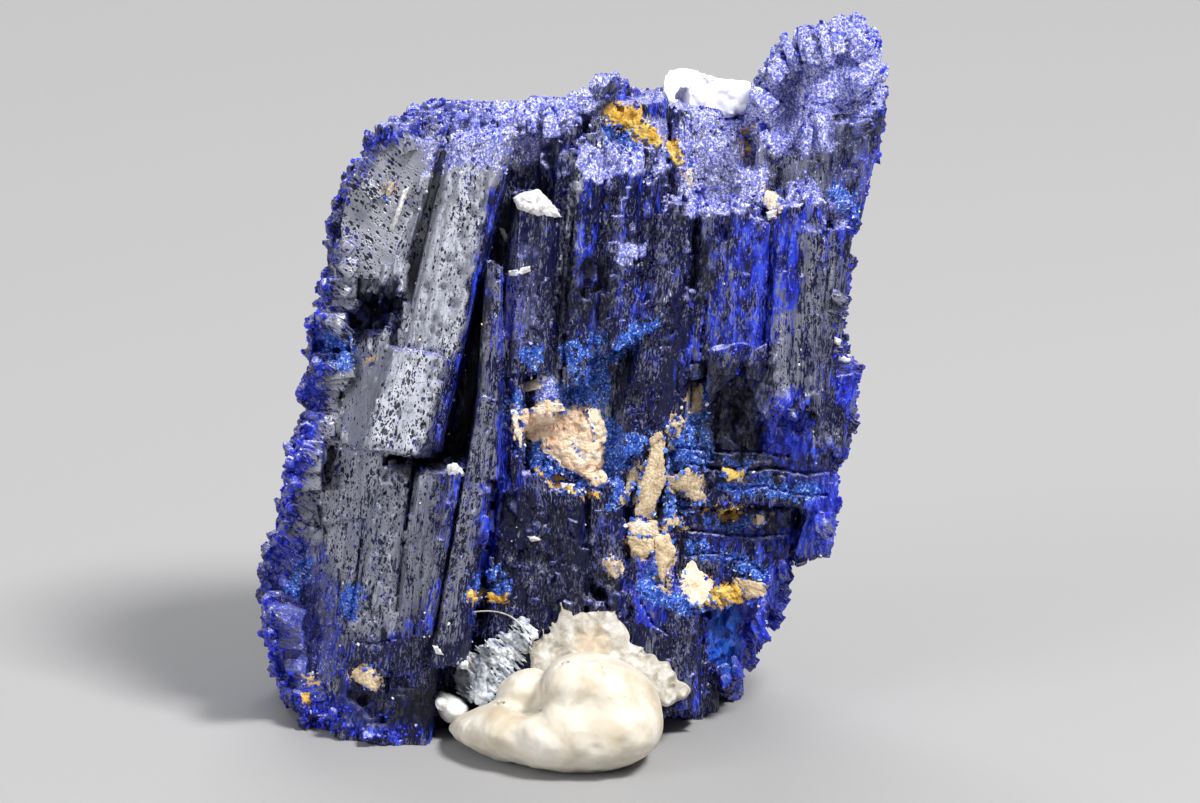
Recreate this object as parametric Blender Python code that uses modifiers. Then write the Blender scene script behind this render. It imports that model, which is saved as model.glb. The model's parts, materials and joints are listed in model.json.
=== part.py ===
"""Azurite specimen: an intergrown slab of azurite blades, propped by a lump of white mineral tack.

The model stands on z = 0 with its front towards -Y, in metres.

Every crystal is set out on a front drawing: u runs right and v runs down across the sheet, d is the
distance behind the sheet, all in drawing units.  The sheet is tipped back by TILT, and its sight lines
meet at a point SIGHT in front of it, so a crystal that lies farther back is drawn a little smaller.
"""
import math

import bmesh
import bpy
from mathutils import Matrix, Vector

# ---------------------------------------------------------------- driving dimensions (metres, radians)
UNIT = 0.00004            # one drawing unit
SIGHT = 0.300             # from the sheet to the point where its sight lines meet
TILT = math.radians(15.0)  # the sheet is tipped back by this much
SHEET_U, SHEET_V = 600.0, 401.5   # middle of the sheet
GROUND_V = 745.0          # where the ground meets the sheet
FORWARD = 0.20            # the slab stands up from the sheet: this much nearer for each unit of height
GAP = 0.0003              # clearance between the putty and the crystals

NAME = "azurite_specimen"

# ---------------------------------------------------------------- the drawing's own frame
SIGHT_DIR = Vector((0.0, math.cos(TILT), -math.sin(TILT)))
RIGHT = Vector((1.0, 0.0, 0.0))
UP = Vector((0.0, math.sin(TILT), math.cos(TILT)))
MIDDLE = Vector((0.0, 0.0, (GROUND_V - SHEET_V) * UNIT * math.cos(TILT)))


def place(u, v, d):
    """Point of the drawing point (u, v) at depth d, in drawing units; the finished solids are scaled by UNIT."""
    d = d - FORWARD * (GROUND_V - v)
    grow = 1.0 + d * UNIT / SIGHT
    return MIDDLE / UNIT + SIGHT_DIR * d + (RIGHT * (u - SHEET_U) + UP * (SHEET_V - v)) * grow


# ---------------------------------------------------------------- the crystals
# Each crystal is a prism between a foot and a tip:
#   foot u, v, d | tip u, v, d | width at foot, at tip | left corner back, right corner back |
#   flare left, flare right | thickness | tip cut: right side lower by, back higher by
# The front face runs between its left and right corners; the flares widen the prism behind it.
LEFT_FACE = [
    (407, 452, -46,   482, 138, -22,   60, 64,   34,   0,   6, 16,   170,   -8, 34),   # great block
    (394, 452, -58,   420, 353, -50,   66, 60,   30,   0,   6, 12,   110,   10,  8),   # its stepped lower part
    (374, 292,  20,   422, 132,  30,   52, 50,   60,   0,   8, 16,   160,  -10, 14),   # shoulder left of it
    (350, 520,  12,   372, 334,  22,   56, 44,   48,   0,   8, 20,   170,   -4, 14),   # smooth face below the hollow
    (356, 330,  72,   392, 152,  78,   36, 30,   30,   0,   4, 24,   120,   -8, 10),   # upper rim
    (340, 470,  66,   356, 240,  70,   36, 34,   24,   0,   5, 40,   130,   -6, 10),   # middle rim
    (312, 560,  78,   332, 384,  82,   34, 32,   20,   0,   5, 44,   120,   -6,  8),   # lower rim
    (306, 704,  70,   300, 606,  64,   40, 54,   22,   0,   4, 40,   120,   -6, 10),   # left foot
    (300, 640,  74,   308, 530,  70,   58, 36,   20,   0,   4, 40,   110,   -8, 10),
    (318, 745,  40,   352, 478,  26,   44, 40,   34,   0,   6, 20,   150,   -6, 14),   # fan, outer
    (356, 748,   4,   396, 466,  -2,   50, 38,   16,   0,   6, 12,   130,    0, 16),   # fan, middle
    (404, 750,  -2,   432, 474, -22,   54, 32,    6,   0,   8, 10,   130,   -4, 16),   # fan, inner
    (426, 636, -28,   456, 472, -38,   15, 15,    0,   2,   4,  6,   100,   -6, 14),   # small bright-tipped blade
]
CENTRE = [
    (486, 476, -40,   495, 268, -26,   28, 13,    0,   4,   4, 10,   130,    8, 12),   # long blade, upper
    (448, 664, -36,   489, 398, -40,   36, 20,    0,   4,   6, 10,   130,    4, 12),   # long blade, lower
    (528, 372, -16,   536, 206,  -8,   46, 44,    4,   2,   4,  8,   120,   14, 22),   # column with the bright cut tip
    (549, 410,  -4,   568, 158,  14,   24, 22,    6,   0,   4,  6,   130,    4, 24),
    (576, 378, -12,   591, 148,   6,   22, 22,    0,   5,   4,  6,   130,    2, 26),
    (596, 352,   2,   610, 152,  16,   20, 18,    4,   0,   4,  6,   130,   -3, 26),
    (619, 344,  -6,   630, 158,   8,   24, 22,    0,   6,   4,  6,   130,    4, 24),
    (640, 330,  10,   652, 186,  20,   16, 14,    3,   0,   4,  6,   110,    2, 20),
    (664, 330,   2,   677, 214,   6,   34, 30,    0,   8,   4, 10,   130,    4, 26),   # bright-topped column
    (652, 452,  14,   670, 292,   4,   70, 50,    0,  14,  10,  8,   120,    0, 16),   # smooth dark face
    (508, 486,  -6,   513, 276, -10,   24, 14,    6,   0,   4,  4,   110,    0, 12),   # left lip of the pocket
    (512, 700,  10,   524, 476,   4,   66, 46,    0,   4,   8,  6,   120,    4, 16),   # under the pocket
    (560, 694,  12,   564, 492,   6,   42, 40,    6,   0,   4,  6,   120,    0, 14),
    (604, 694,  24,   606, 484,  20,   46, 36,    0,   0,   6,  6,   110,    0, 12),   # dark recess
    (656, 712,  14,   664, 588,  10,   80, 60,    4,  10,   6,  8,   120,    6, 18),   # dark blade over the putty
    (651, 596,  22,   654, 446,  26,   44, 34,    0,   4,   6,  6,   110,    4, 12),   # behind the tan slivers
]
CREST = [
    (505, 230,  42,   512, 116,  44,   66, 62,    6,   0,   6, 10,   160,   -2, 14),
    (556, 210,  50,   560, 110,  52,   52, 50,    0,   4,   6,  6,   160,    2, 12),
    (597, 200,  50,   607,  84,  54,   26, 16,    4,   0,   2,  2,   110,   -4, 10),   # dark plate
    (640, 220,  62,   640, 104,  70,   50, 44,    0,   6,   4,  6,   130,   -4, 14),
    (690, 260,  84,   697, 112, 104,   50, 46,    0,   4,   6,  6,   130,    8, 12),
    (722, 240,  80,   724, 132,  98,   38, 36,    6,   0,   4,  6,   120,    4, 18),
    (753, 300,  62,   754, 172,  78,   32, 32,    0,   4,   4,  6,   120,    2, 15),   # pale flat-topped column
]
RIGHT_SIDE = [
    (710, 360,  14,   722, 214,  20,   46, 44,   10,   0,   4,  8,   150,    8, 22),
    (744, 362,  16,   756, 222,  26,   30, 30,    0,   6,   4,  6,   150,    6, 18),
    (774, 400,  22,   786, 212,  34,   34, 30,    8,   0,   4,  6,   150,   -6, 22),
    (797, 400,  26,   800, 204,  36,   50, 48,    0,   6,   6,  8,   150,   -4, 20),   # bright flat top
    (812, 404,  30,   829, 230,  40,   40, 42,    0,  14,   6,  0,   120,    8, 18),   # grey pitted face
    (830, 452,  50,   842, 376,  52,   30, 28,    0,  12,  10,  0,   110,   -4, 10),   # right knee
    (793, 506,  48,   800, 384,  52,   64, 56,    6,   0,  10,  2,   120,   -4, 14),   # blue druse block
    (736, 476,  70,   738, 356,  66,   54, 50,    0,   0,   8,  8,   120,    0, 14),   # dark recess
    (686, 470,  44,   694, 386,  46,   44, 34,    0,  10,   6,  6,   120,   14, 18),   # pale ridge
    (750, 504,  46,   748, 462,  50,  150, 144,   6,   6,   6,  0,   100,   -4, 22),   # ledge
    (812, 550,  72,   826, 484,  74,   32, 22,    6,   6,  10,  0,    90,   -2,  8),   # blue plate under it
    (734, 604,  76,   750, 500,  80,   84, 98,    0,   8,   8,  0,   100,    0, 12),
    (698, 612,  56,   700, 500,  56,   50, 44,    0,   8,   6,  6,   120,    4, 16),
    (744, 620,  92,   762, 556,  90,   44, 36,    0,   6,   8,  0,    90,    0,  8),
    (716, 690, 100,   736, 588,  98,   36, 34,    4,   6,   6,  2,    80,   10,  8),   # azure-faced blade
    (690, 745,  84,   706, 590,  84,   24, 18,    0,   4,   6,  6,   100,    8, 10),   # dark column, right foot
]
SPUR = [
    (844, 232,  58,   848, 112,  60,   22, 72,    6,  14,   6,  0,   100,   -8, 24),   # ledge block
    (820, 246,  64,   826, 156,  66,   56, 84,    4,  10,   6,  0,   100,    2, 10),   # pitted lower face
    (852, 160,  92,   860,  32,  96,   50, 34,    6,  10,   4,  0,    70,   14,  9),   # top right
    (816, 160,  98,   824,  36, 100,   56, 44,    0,   8,   4,  6,    80,   -8, 10),   # top middle
    (788, 190, 104,   794,  50, 108,   60, 28,   16,   0,   6,  6,    80,  -14, 10),   # top left
    (762, 200, 100,   770,  88, 112,   60, 34,   20,   0,   6,  6,    90,  -22, 10),   # long left slope
]
BACK = [
    (330, 700, 232,   370, 222, 214,   50, 38,    0, -20,   4,  6,  -120,   -8, -10),
    (376, 700, 268,   402, 158, 244,   66, 50,    0, -12,   6,  6,  -130,  -10, -10),
    (438, 700, 292,   458, 132, 268,   72, 60,  -12,   0,   6,  6,  -130,    6, -12),
    (498, 700, 300,   520, 126, 286,   64, 58,    0,  -8,   4,  8,  -130,   -6, -12),
    (556, 700, 312,   574, 116, 292,   66, 60,   -8,   0,   6,  4,  -140,    6, -12),
    (618, 690, 300,   634, 128, 280,   64, 56,    0, -10,   4,  6,  -130,   -4, -10),
    (670, 690, 286,   690, 164, 262,   58, 54,  -10,   0,   6,  4,  -130,    6, -12),
    (716, 640, 258,   740, 176, 240,   50, 54,    0, -14,   4,  4,  -120,   -6, -10),
    (762, 556, 236,   790, 128, 214,   44, 46,   -8,   0,   6,  2,  -120,    8, -10),
    (800, 490, 200,   832, 112, 184,   40, 46,    0, -16,   4,  4,  -110,    4, -10),
    (346, 560, 262,   366, 392, 252,   46, 40,    0, -10,   4,  4,   -80,    4, -12),
    (476, 520, 322,   486, 300, 310,   48, 40,  -10,   0,   4,  4,   -90,   -6, -14),
    (600, 560, 326,   612, 252, 312,   40, 36,    0,  -6,   4,  4,   -90,    4, -14),
    (704, 480, 292,   716, 300, 278,   36, 34,   -6,   0,   4,  4,   -80,    6, -12),
]
BODY = [
    (360, 752, 110,   408, 176,  96,  110, 60,   10,   0,   0,  0,   110,    0,  8),
    (430, 752,  60,   470, 150,  52,  150, 110,   0,   0,   0,  0,   200,    0,  8),
    (560, 752,  70,   580, 150,  60,  190, 160,   0,   0,   0,  0,   200,    0,  8),
    (664, 752, 100,   700, 170, 104,   96, 130,   0,   0,   0,  0,   150,    0,  8),
    (742, 556,  96,   770, 180,  90,   84, 110,   0,   0,   0,  0,   130,    0,  8),
    (800, 464,  84,   822, 130,  90,   44, 60,    0,   0,   0,  0,    90,    0,  8),
    (572, 500,  44,   574, 320,  46,  130, 120,   0,   0,   0,  0,    60,    0,  8),   # floor of the pocket
]
WHITE = [
    (692, 150, 170,   688,  80, 176,   70, 46,   10,   0,   0,  0,    70,    4, 12),
    (730, 160, 160,   730,  96, 170,   50, 38,    6,   0,   0,  0,    60,    4, 12),
]
MATRIX = [
    (556, 474,  22,   566, 414,  22,   66, 74,    8,  12,   8,  8,    50,   12,  4),   # pink matrix lump in the pocket
]
ALL = LEFT_FACE + CENTRE + CREST + RIGHT_SIDE + SPUR + BACK + BODY + WHITE + MATRIX


def hashed(index, k):
    """A fixed pseudo-random number from 0 to 1 for number k of crystal index."""
    x = math.sin(index * 12.9898 + k * 78.233 + 4.7) * 43758.5453
    return x - math.floor(x)


def corners(c, index):
    """The corners of one crystal: a front face with bevelled sides and the wider body behind it."""
    (fu, fv, fd, tu, tv, td, wf, wt, back_l, back_r, flare_l, flare_r, deep, cut, rise) = c
    side = 1.0 if deep > 0 else -1.0
    bev_l, bev_r = 0.05 + 0.11 * hashed(index, 1), 0.05 + 0.11 * hashed(index, 2)
    in_l, in_r = side * (6 + 12 * hashed(index, 3)), side * (6 + 12 * hashed(index, 4))
    slant = (hashed(index, 5) - 0.5) * 0.35
    out = []
    for u, v, d, w, c_lr, c_fb, s in ((fu, fv, fd, wf, slant * wf, 0.0, 0), (tu, tv, td, wt, cut, rise, 8)):
        wob = [(hashed(index, 10 + s + k) - 0.5) * 2.4 for k in range(6)]
        lift = 3.0 * hashed(index, 30 + s) * (1 if s else 0)
        out.append((u - w * (0.5 - bev_l), v - c_lr * 0.4, d + back_l * (1 - bev_l) + wob[0]))
        out.append((u + w * (0.5 - bev_r), v + c_lr * 0.4, d + back_r * (1 - bev_r) + wob[1]))
        out.append((u + w / 2, v + c_lr / 2 + lift, d + back_r + in_r + wob[2]))
        out.append((u + w / 2 + flare_r + wob[3], v + c_lr / 2 - c_fb, d + back_r + deep + wob[3]))
        out.append((u - w / 2 - flare_l + wob[4], v - c_lr / 2 - c_fb, d + back_l + deep + wob[4]))
        out.append((u - w / 2, v - c_lr / 2 + lift, d + back_l + in_l + wob[5]))
    return [place(*p) for p in out]


# ---------------------------------------------------------------- the small crystals along the rims
# A rim is a line of drawing points; its nubs are spread along it at depths between near and far.
#   points | near, far | count | length least, most | width least, most | first index
RIMS = [
    ([(474, 118), (434, 126), (400, 140), (376, 162), (360, 190), (350, 228), (342, 264), (338, 298), (330, 332),
      (328, 366), (318, 390), (322, 414), (308, 446), (302, 490), (298, 522), (286, 558), (280, 602), (286, 650),
      (302, 690), (326, 714)], (56, 210), 66, (8, 22), (12, 20), 200),
    ([(474, 116), (520, 114), (560, 110), (590, 96), (612, 86), (640, 100)], (40, 150), 16, (6, 14), (9, 16), 300),
    ([(758, 98), (768, 72), (788, 52), (814, 40), (846, 28), (864, 42), (872, 64), (874, 98), (870, 132),
      (856, 176), (844, 214)], (76, 150), 28, (8, 18), (10, 16), 340),
    ([(840, 250), (828, 300), (826, 340), (840, 378), (838, 410), (830, 444), (814, 472), (824, 492), (816, 526),
      (800, 548), (776, 562), (766, 604), (744, 630), (736, 662), (708, 682)], (70, 150), 28, (4, 11), (10, 16), 380),
]


def along(points, t):
    """Point and outward direction at fraction t of a rim, the line running anticlockwise on its left."""
    spans = [math.dist(p, q) for p, q in zip(points, points[1:])]
    s = t * sum(spans)
    for (p, q), span in zip(zip(points, points[1:]), spans):
        if s <= span:
            break
        s -= span
    f = min(s / span, 1.0)
    x, y = p[0] + (q[0] - p[0]) * f, p[1] + (q[1] - p[1]) * f
    return x, y, (q[0] - p[0]) / span, (q[1] - p[1]) / span


def nub_corners(rim, i):
    points, (near, far), count, (l0, l1), (w0, w1), first = rim
    k = first + i
    x, y, tx, ty = along(points, (i + 0.5 * hashed(k, 1)) / count)
    nx, ny = ty, -tx
    if points[0][0] > points[-1][0] and points[0][1] < points[-1][1]:
        nx, ny = (ty, -tx) if nx < 0 else (-ty, tx)      # the left rim grows outwards to the left
    ny -= 0.55
    norm = math.hypot(nx, ny)
    nx, ny = nx / norm, ny / norm
    length = l0 + (l1 - l0) * hashed(k, 2)
    half = 0.5 * (w0 + (w1 - w0) * hashed(k, 3))
    d = near + (far - near) * hashed(k, 4)
    px, py = -ny, nx
    out = []
    for reach, size in ((-14.0, 1.25), (length * 0.55, 1.0), (length, 0.45)):
        for su, sd in ((-1, -0.7), (1, -0.5), (1, 0.8), (-1, 1.0)):
            j = (hashed(k, 10 + len(out)) - 0.5) * 2.0
            out.append((x + nx * reach + px * half * size * su + j,
                        y + ny * reach + py * half * size * su - j,
                        d + sd * half * size * 1.3))
    return [place(*p) for p in out]


# ---------------------------------------------------------------- Blender helpers
def clear_scene():
    for obj in list(bpy.data.objects):
        bpy.data.objects.remove(obj, do_unlink=True)
    for coll in list(bpy.data.collections):
        bpy.data.collections.remove(coll)


def new_collection(name):
    coll = bpy.data.collections.new(name)
    bpy.context.scene.collection.children.link(coll)
    return coll


def hull_object(name, points, coll):
    """A convex solid around the given corner points."""
    bm = bmesh.new()
    for p in points:
        bm.verts.new(p)
    res = bmesh.ops.convex_hull(bm, input=bm.verts)
    loose = [g for g in res["geom_interior"] if isinstance(g, bmesh.types.BMVert)]
    bmesh.ops.delete(bm, geom=list(set(loose)), context="VERTS")
    bmesh.ops.recalc_face_normals(bm, faces=bm.faces)
    mesh = bpy.data.meshes.new(name)
    bm.to_mesh(mesh)
    bm.free()
    obj = bpy.data.objects.new(name, mesh)
    coll.objects.link(obj)
    return obj


def baked(obj):
    """The object's mesh with its modifiers applied."""
    deps = bpy.context.evaluated_depsgraph_get()
    return bpy.data.meshes.new_from_object(obj.evaluated_get(deps))


def boolean(obj, other, operation):
    mod = obj.modifiers.new(operation.lower(), "BOOLEAN")
    mod.operation = operation
    mod.solver = "EXACT"
    mod.object = other
    bpy.context.view_layer.update()
    mesh = baked(obj)
    obj.modifiers.remove(mod)
    old = obj.data
    obj.data = mesh
    bpy.data.meshes.remove(old)


def keep_outer_shell(obj):
    """Fill sealed voids between the crystals by deleting every shell but the outer one."""
    bm = bmesh.new()
    bm.from_mesh(obj.data)
    bmesh.ops.triangulate(bm, faces=bm.faces)
    bm.verts.ensure_lookup_table()
    seen, shells = set(), []
    for start in bm.faces:
        if start in seen:
            continue
        stack, shell = [start], []
        seen.add(start)
        while stack:
            face = stack.pop()
            shell.append(face)
            for edge in face.edges:
                for nxt in edge.link_faces:
                    if nxt not in seen:
                        seen.add(nxt)
                        stack.append(nxt)
        shells.append(shell)
    shells.sort(key=len, reverse=True)
    for shell in shells[1:]:
        bmesh.ops.delete(bm, geom=shell, context="FACES")
    bmesh.ops.delete(bm, geom=[v for v in bm.verts if not v.link_faces], context="VERTS")
    bm.to_mesh(obj.data)
    bm.free()


def material(name, colour, roughness, metallic=0.0):
    mat = bpy.data.materials.new(name)
    mat.use_nodes = True
    bsdf = mat.node_tree.nodes["Principled BSDF"]
    bsdf.inputs["Base Color"].default_value = (*colour, 1.0)
    bsdf.inputs["Roughness"].default_value = roughness
    bsdf.inputs["Metallic"].default_value = metallic
    mat.diffuse_color = (*colour, 1.0)
    return mat


# ---------------------------------------------------------------- build
def build_cluster(parts, cutters):
    shapes = [corners(crystal, i) for i, crystal in enumerate(ALL)]
    shapes += [nub_corners(rim, i) for rim in RIMS for i in range(rim[2])]
    cluster = None
    for i, points in enumerate(shapes):
        obj = hull_object("crystal_%03d" % i, points, parts)
        if cluster is None:
            cluster = obj
            continue
        boolean(cluster, obj, "UNION")
        bpy.data.objects.remove(obj, do_unlink=True)
    cluster.name = "azurite_cluster"
    ground = hull_object("ground_cut", [Vector((x, y, z)) for x in (-900, 900) for y in (-900, 900)
                                        for z in (-300, 0)], cutters)
    ground.hide_render = True
    ground.display_type = "WIRE"
    boolean(cluster, ground, "DIFFERENCE")
    keep_outer_shell(cluster)
    return cluster, ground


# The putty: a pinched lump lying in front of the slab, its back pressed against the crystals.
PUTTY_MIDDLE = (553.0, -140.0, 49.0)     # u, then y and z in drawing units
PUTTY_HALF = (111.0, 80.0, 56.0)         # half its width, depth and height
PUTTY_BACK = -82.0                       # y of the flat it keeps towards the crystals


def build_putty(parts, cutters, ground):
    bm = bmesh.new()
    bmesh.ops.create_icosphere(bm, subdivisions=2, radius=1.0)
    for v in bm.verts:
        x, y, z = v.co
        # slimmer, lower left end and a fuller right end, with a shallow fold across the left third
        taper = 1.0 - 0.26 * max(0.0, -x) ** 1.4
        fold = 1.0 - 0.07 * math.exp(-((x + 0.34) / 0.16) ** 2)
        v.co = Vector((PUTTY_MIDDLE[0] - SHEET_U + PUTTY_HALF[0] * x,
                       PUTTY_MIDDLE[1] + PUTTY_HALF[1] * y * taper * fold,
                       PUTTY_MIDDLE[2] - 9.0 * max(0.0, -x) + PUTTY_HALF[2] * z * taper * fold))
    mesh = bpy.data.meshes.new("putty_support")
    bm.to_mesh(mesh)
    bm.free()
    putty = bpy.data.objects.new("putty_support", mesh)
    parts.objects.link(putty)
    smooth = putty.modifiers.new("soft form", "SUBSURF")
    smooth.levels = 1
    smooth.render_levels = 1
    mesh = baked(putty)
    putty.modifiers.remove(smooth)
    putty.data = mesh
    back = hull_object("back_cut", [Vector((x, y, z)) for x in (-900, 900) for y in (PUTTY_BACK, 400)
                                    for z in (-300, 400)], cutters)
    back.hide_render = True
    back.display_type = "WIRE"
    boolean(putty, ground, "DIFFERENCE")
    boolean(putty, back, "DIFFERENCE")
    keep_outer_shell(putty)
    return putty, back


def main():
    clear_scene()
    parts = new_collection(NAME)
    cutters = new_collection("cutters")
    cluster, ground = build_cluster(parts, cutters)
    putty, back = build_putty(parts, cutters, ground)
    # real size, with the origin under the middle of the whole object
    points = [v.co for obj in (cluster, putty) for v in obj.data.vertices]
    low = [min(p[i] for p in points) for i in range(3)]
    high = [max(p[i] for p in points) for i in range(3)]
    centre = Vector(((low[0] + high[0]) / 2, (low[1] + high[1]) / 2, low[2]))
    for obj in (cluster, putty, ground, back):
        obj.data.transform(Matrix.Scale(UNIT, 4) @ Matrix.Translation(-centre))
        obj.data.update()
    print("middle in drawing units", tuple(round(x, 4) for x in centre))
    for obj, mat in ((cluster, material("azurite", (0.012, 0.02, 0.16), 0.3)),
                     (putty, material("putty", (0.78, 0.74, 0.66), 0.55))):
        obj.data.materials.clear()
        obj.data.materials.append(mat)
    return centre * UNIT


ORIGIN = main()
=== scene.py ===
"""The looks of the azurite specimen: striated, pitted blades, druse, matrix, white mineral and putty."""

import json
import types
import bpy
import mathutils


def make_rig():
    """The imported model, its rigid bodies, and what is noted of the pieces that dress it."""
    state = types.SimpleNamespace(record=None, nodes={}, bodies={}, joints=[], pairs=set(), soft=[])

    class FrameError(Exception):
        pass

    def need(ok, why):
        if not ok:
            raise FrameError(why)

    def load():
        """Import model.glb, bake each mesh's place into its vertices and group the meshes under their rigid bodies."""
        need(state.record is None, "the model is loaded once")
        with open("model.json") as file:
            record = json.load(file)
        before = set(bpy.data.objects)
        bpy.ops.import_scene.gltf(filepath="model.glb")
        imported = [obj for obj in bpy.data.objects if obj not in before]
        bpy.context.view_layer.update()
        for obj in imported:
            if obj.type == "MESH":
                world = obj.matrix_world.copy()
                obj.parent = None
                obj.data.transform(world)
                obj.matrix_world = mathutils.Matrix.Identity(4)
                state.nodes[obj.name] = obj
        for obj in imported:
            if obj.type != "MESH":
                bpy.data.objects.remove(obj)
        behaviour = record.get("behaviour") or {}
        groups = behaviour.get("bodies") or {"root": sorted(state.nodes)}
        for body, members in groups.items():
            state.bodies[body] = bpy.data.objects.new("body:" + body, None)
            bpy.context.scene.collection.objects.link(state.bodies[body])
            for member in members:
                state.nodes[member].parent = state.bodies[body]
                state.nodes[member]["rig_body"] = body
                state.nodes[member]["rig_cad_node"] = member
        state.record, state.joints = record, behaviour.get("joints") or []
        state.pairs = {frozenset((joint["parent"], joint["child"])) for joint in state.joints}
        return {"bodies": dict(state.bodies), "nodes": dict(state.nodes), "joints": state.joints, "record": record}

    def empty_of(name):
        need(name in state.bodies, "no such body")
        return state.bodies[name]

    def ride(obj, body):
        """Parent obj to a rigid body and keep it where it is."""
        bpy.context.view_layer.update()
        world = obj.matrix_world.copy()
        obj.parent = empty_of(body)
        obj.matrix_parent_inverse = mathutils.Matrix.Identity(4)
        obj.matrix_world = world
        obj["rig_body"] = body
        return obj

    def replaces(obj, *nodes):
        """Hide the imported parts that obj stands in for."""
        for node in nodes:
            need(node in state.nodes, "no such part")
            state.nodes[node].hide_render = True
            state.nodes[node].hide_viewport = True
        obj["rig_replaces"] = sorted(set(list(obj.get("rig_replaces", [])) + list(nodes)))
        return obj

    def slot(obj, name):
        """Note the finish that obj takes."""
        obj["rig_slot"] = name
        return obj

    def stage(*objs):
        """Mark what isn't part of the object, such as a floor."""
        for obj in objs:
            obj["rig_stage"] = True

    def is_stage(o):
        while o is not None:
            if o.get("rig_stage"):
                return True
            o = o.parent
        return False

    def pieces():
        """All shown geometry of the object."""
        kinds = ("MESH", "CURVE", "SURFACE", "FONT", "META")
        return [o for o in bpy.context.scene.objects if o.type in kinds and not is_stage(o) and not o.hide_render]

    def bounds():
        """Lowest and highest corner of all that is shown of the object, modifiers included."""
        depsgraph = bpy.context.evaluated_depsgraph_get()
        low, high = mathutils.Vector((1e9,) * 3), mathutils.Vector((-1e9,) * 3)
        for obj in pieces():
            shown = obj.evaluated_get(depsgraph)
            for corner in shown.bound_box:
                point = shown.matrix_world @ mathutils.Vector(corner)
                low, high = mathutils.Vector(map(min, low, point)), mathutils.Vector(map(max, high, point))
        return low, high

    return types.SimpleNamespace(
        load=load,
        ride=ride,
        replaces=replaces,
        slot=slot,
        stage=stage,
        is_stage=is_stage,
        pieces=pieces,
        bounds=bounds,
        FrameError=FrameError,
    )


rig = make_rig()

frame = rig.load()

import json
import math

import bmesh
import bpy
import numpy as np
from mathutils import Vector

CAD_BOX = [[float(x) for x in corner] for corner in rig.bounds()]

# ------------------------------------------------------------------ the front drawing, as the CAD part has it
UNIT = 0.00004
SIGHT = 0.300
TILT = math.radians(15.0)
SHEET_U, SHEET_V = 600.0, 401.5
GROUND_V = 745.0
FORWARD = 0.20
ORIGIN = np.array([-25.691, 16.8803, 0.0])      # the CAD part's origin, in drawing units

SIGHT_DIR = np.array([0.0, math.cos(TILT), -math.sin(TILT)])
RIGHT = np.array([1.0, 0.0, 0.0])
UP = np.array([0.0, math.sin(TILT), math.cos(TILT)])
MIDDLE = np.array([0.0, 0.0, (GROUND_V - SHEET_V) * math.cos(TILT)])


def place(u, v, d):
    d = d - FORWARD * (GROUND_V - v)
    grow = 1.0 + d * UNIT / SIGHT
    return MIDDLE + SIGHT_DIR * d + (RIGHT * (u - SHEET_U) + UP * (SHEET_V - v)) * grow


def unplace(p):
    """Drawing coordinates u, v, d of points in drawing-unit space (N, 3)."""
    q = p - MIDDLE
    d = q @ SIGHT_DIR
    grow = 1.0 + d * UNIT / SIGHT
    u = SHEET_U + (q @ RIGHT) / grow
    v = SHEET_V - (q @ UP) / grow
    return u, v, d + FORWARD * (GROUND_V - v)


def to_world(p):
    return (p - ORIGIN) * UNIT


# ------------------------------------------------------------------ the crystals, as the CAD part has them
LEFT_FACE = [
    (407, 452, -46,   482, 138, -22,   60, 64,   34,   0,   6, 16,   170,   -8, 34),   # great block
    (394, 452, -58,   420, 353, -50,   66, 60,   30,   0,   6, 12,   110,   10,  8),   # its stepped lower part
    (374, 292,  20,   422, 132,  30,   52, 50,   60,   0,   8, 16,   160,  -10, 14),   # shoulder left of it
    (350, 520,  12,   372, 334,  22,   56, 44,   48,   0,   8, 20,   170,   -4, 14),   # smooth face below the hollow
    (356, 330,  72,   392, 152,  78,   36, 30,   30,   0,   4, 24,   120,   -8, 10),   # upper rim
    (340, 470,  66,   356, 240,  70,   36, 34,   24,   0,   5, 40,   130,   -6, 10),   # middle rim
    (312, 560,  78,   332, 384,  82,   34, 32,   20,   0,   5, 44,   120,   -6,  8),   # lower rim
    (306, 704,  70,   300, 606,  64,   40, 54,   22,   0,   4, 40,   120,   -6, 10),   # left foot
    (300, 640,  74,   308, 530,  70,   58, 36,   20,   0,   4, 40,   110,   -8, 10),
    (318, 745,  40,   352, 478,  26,   44, 40,   34,   0,   6, 20,   150,   -6, 14),   # fan, outer
    (356, 748,   4,   396, 466,  -2,   50, 38,   16,   0,   6, 12,   130,    0, 16),   # fan, middle
    (404, 750,  -2,   432, 474, -22,   54, 32,    6,   0,   8, 10,   130,   -4, 16),   # fan, inner
    (426, 636, -28,   456, 472, -38,   15, 15,    0,   2,   4,  6,   100,   -6, 14),   # small bright-tipped blade
]
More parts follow.
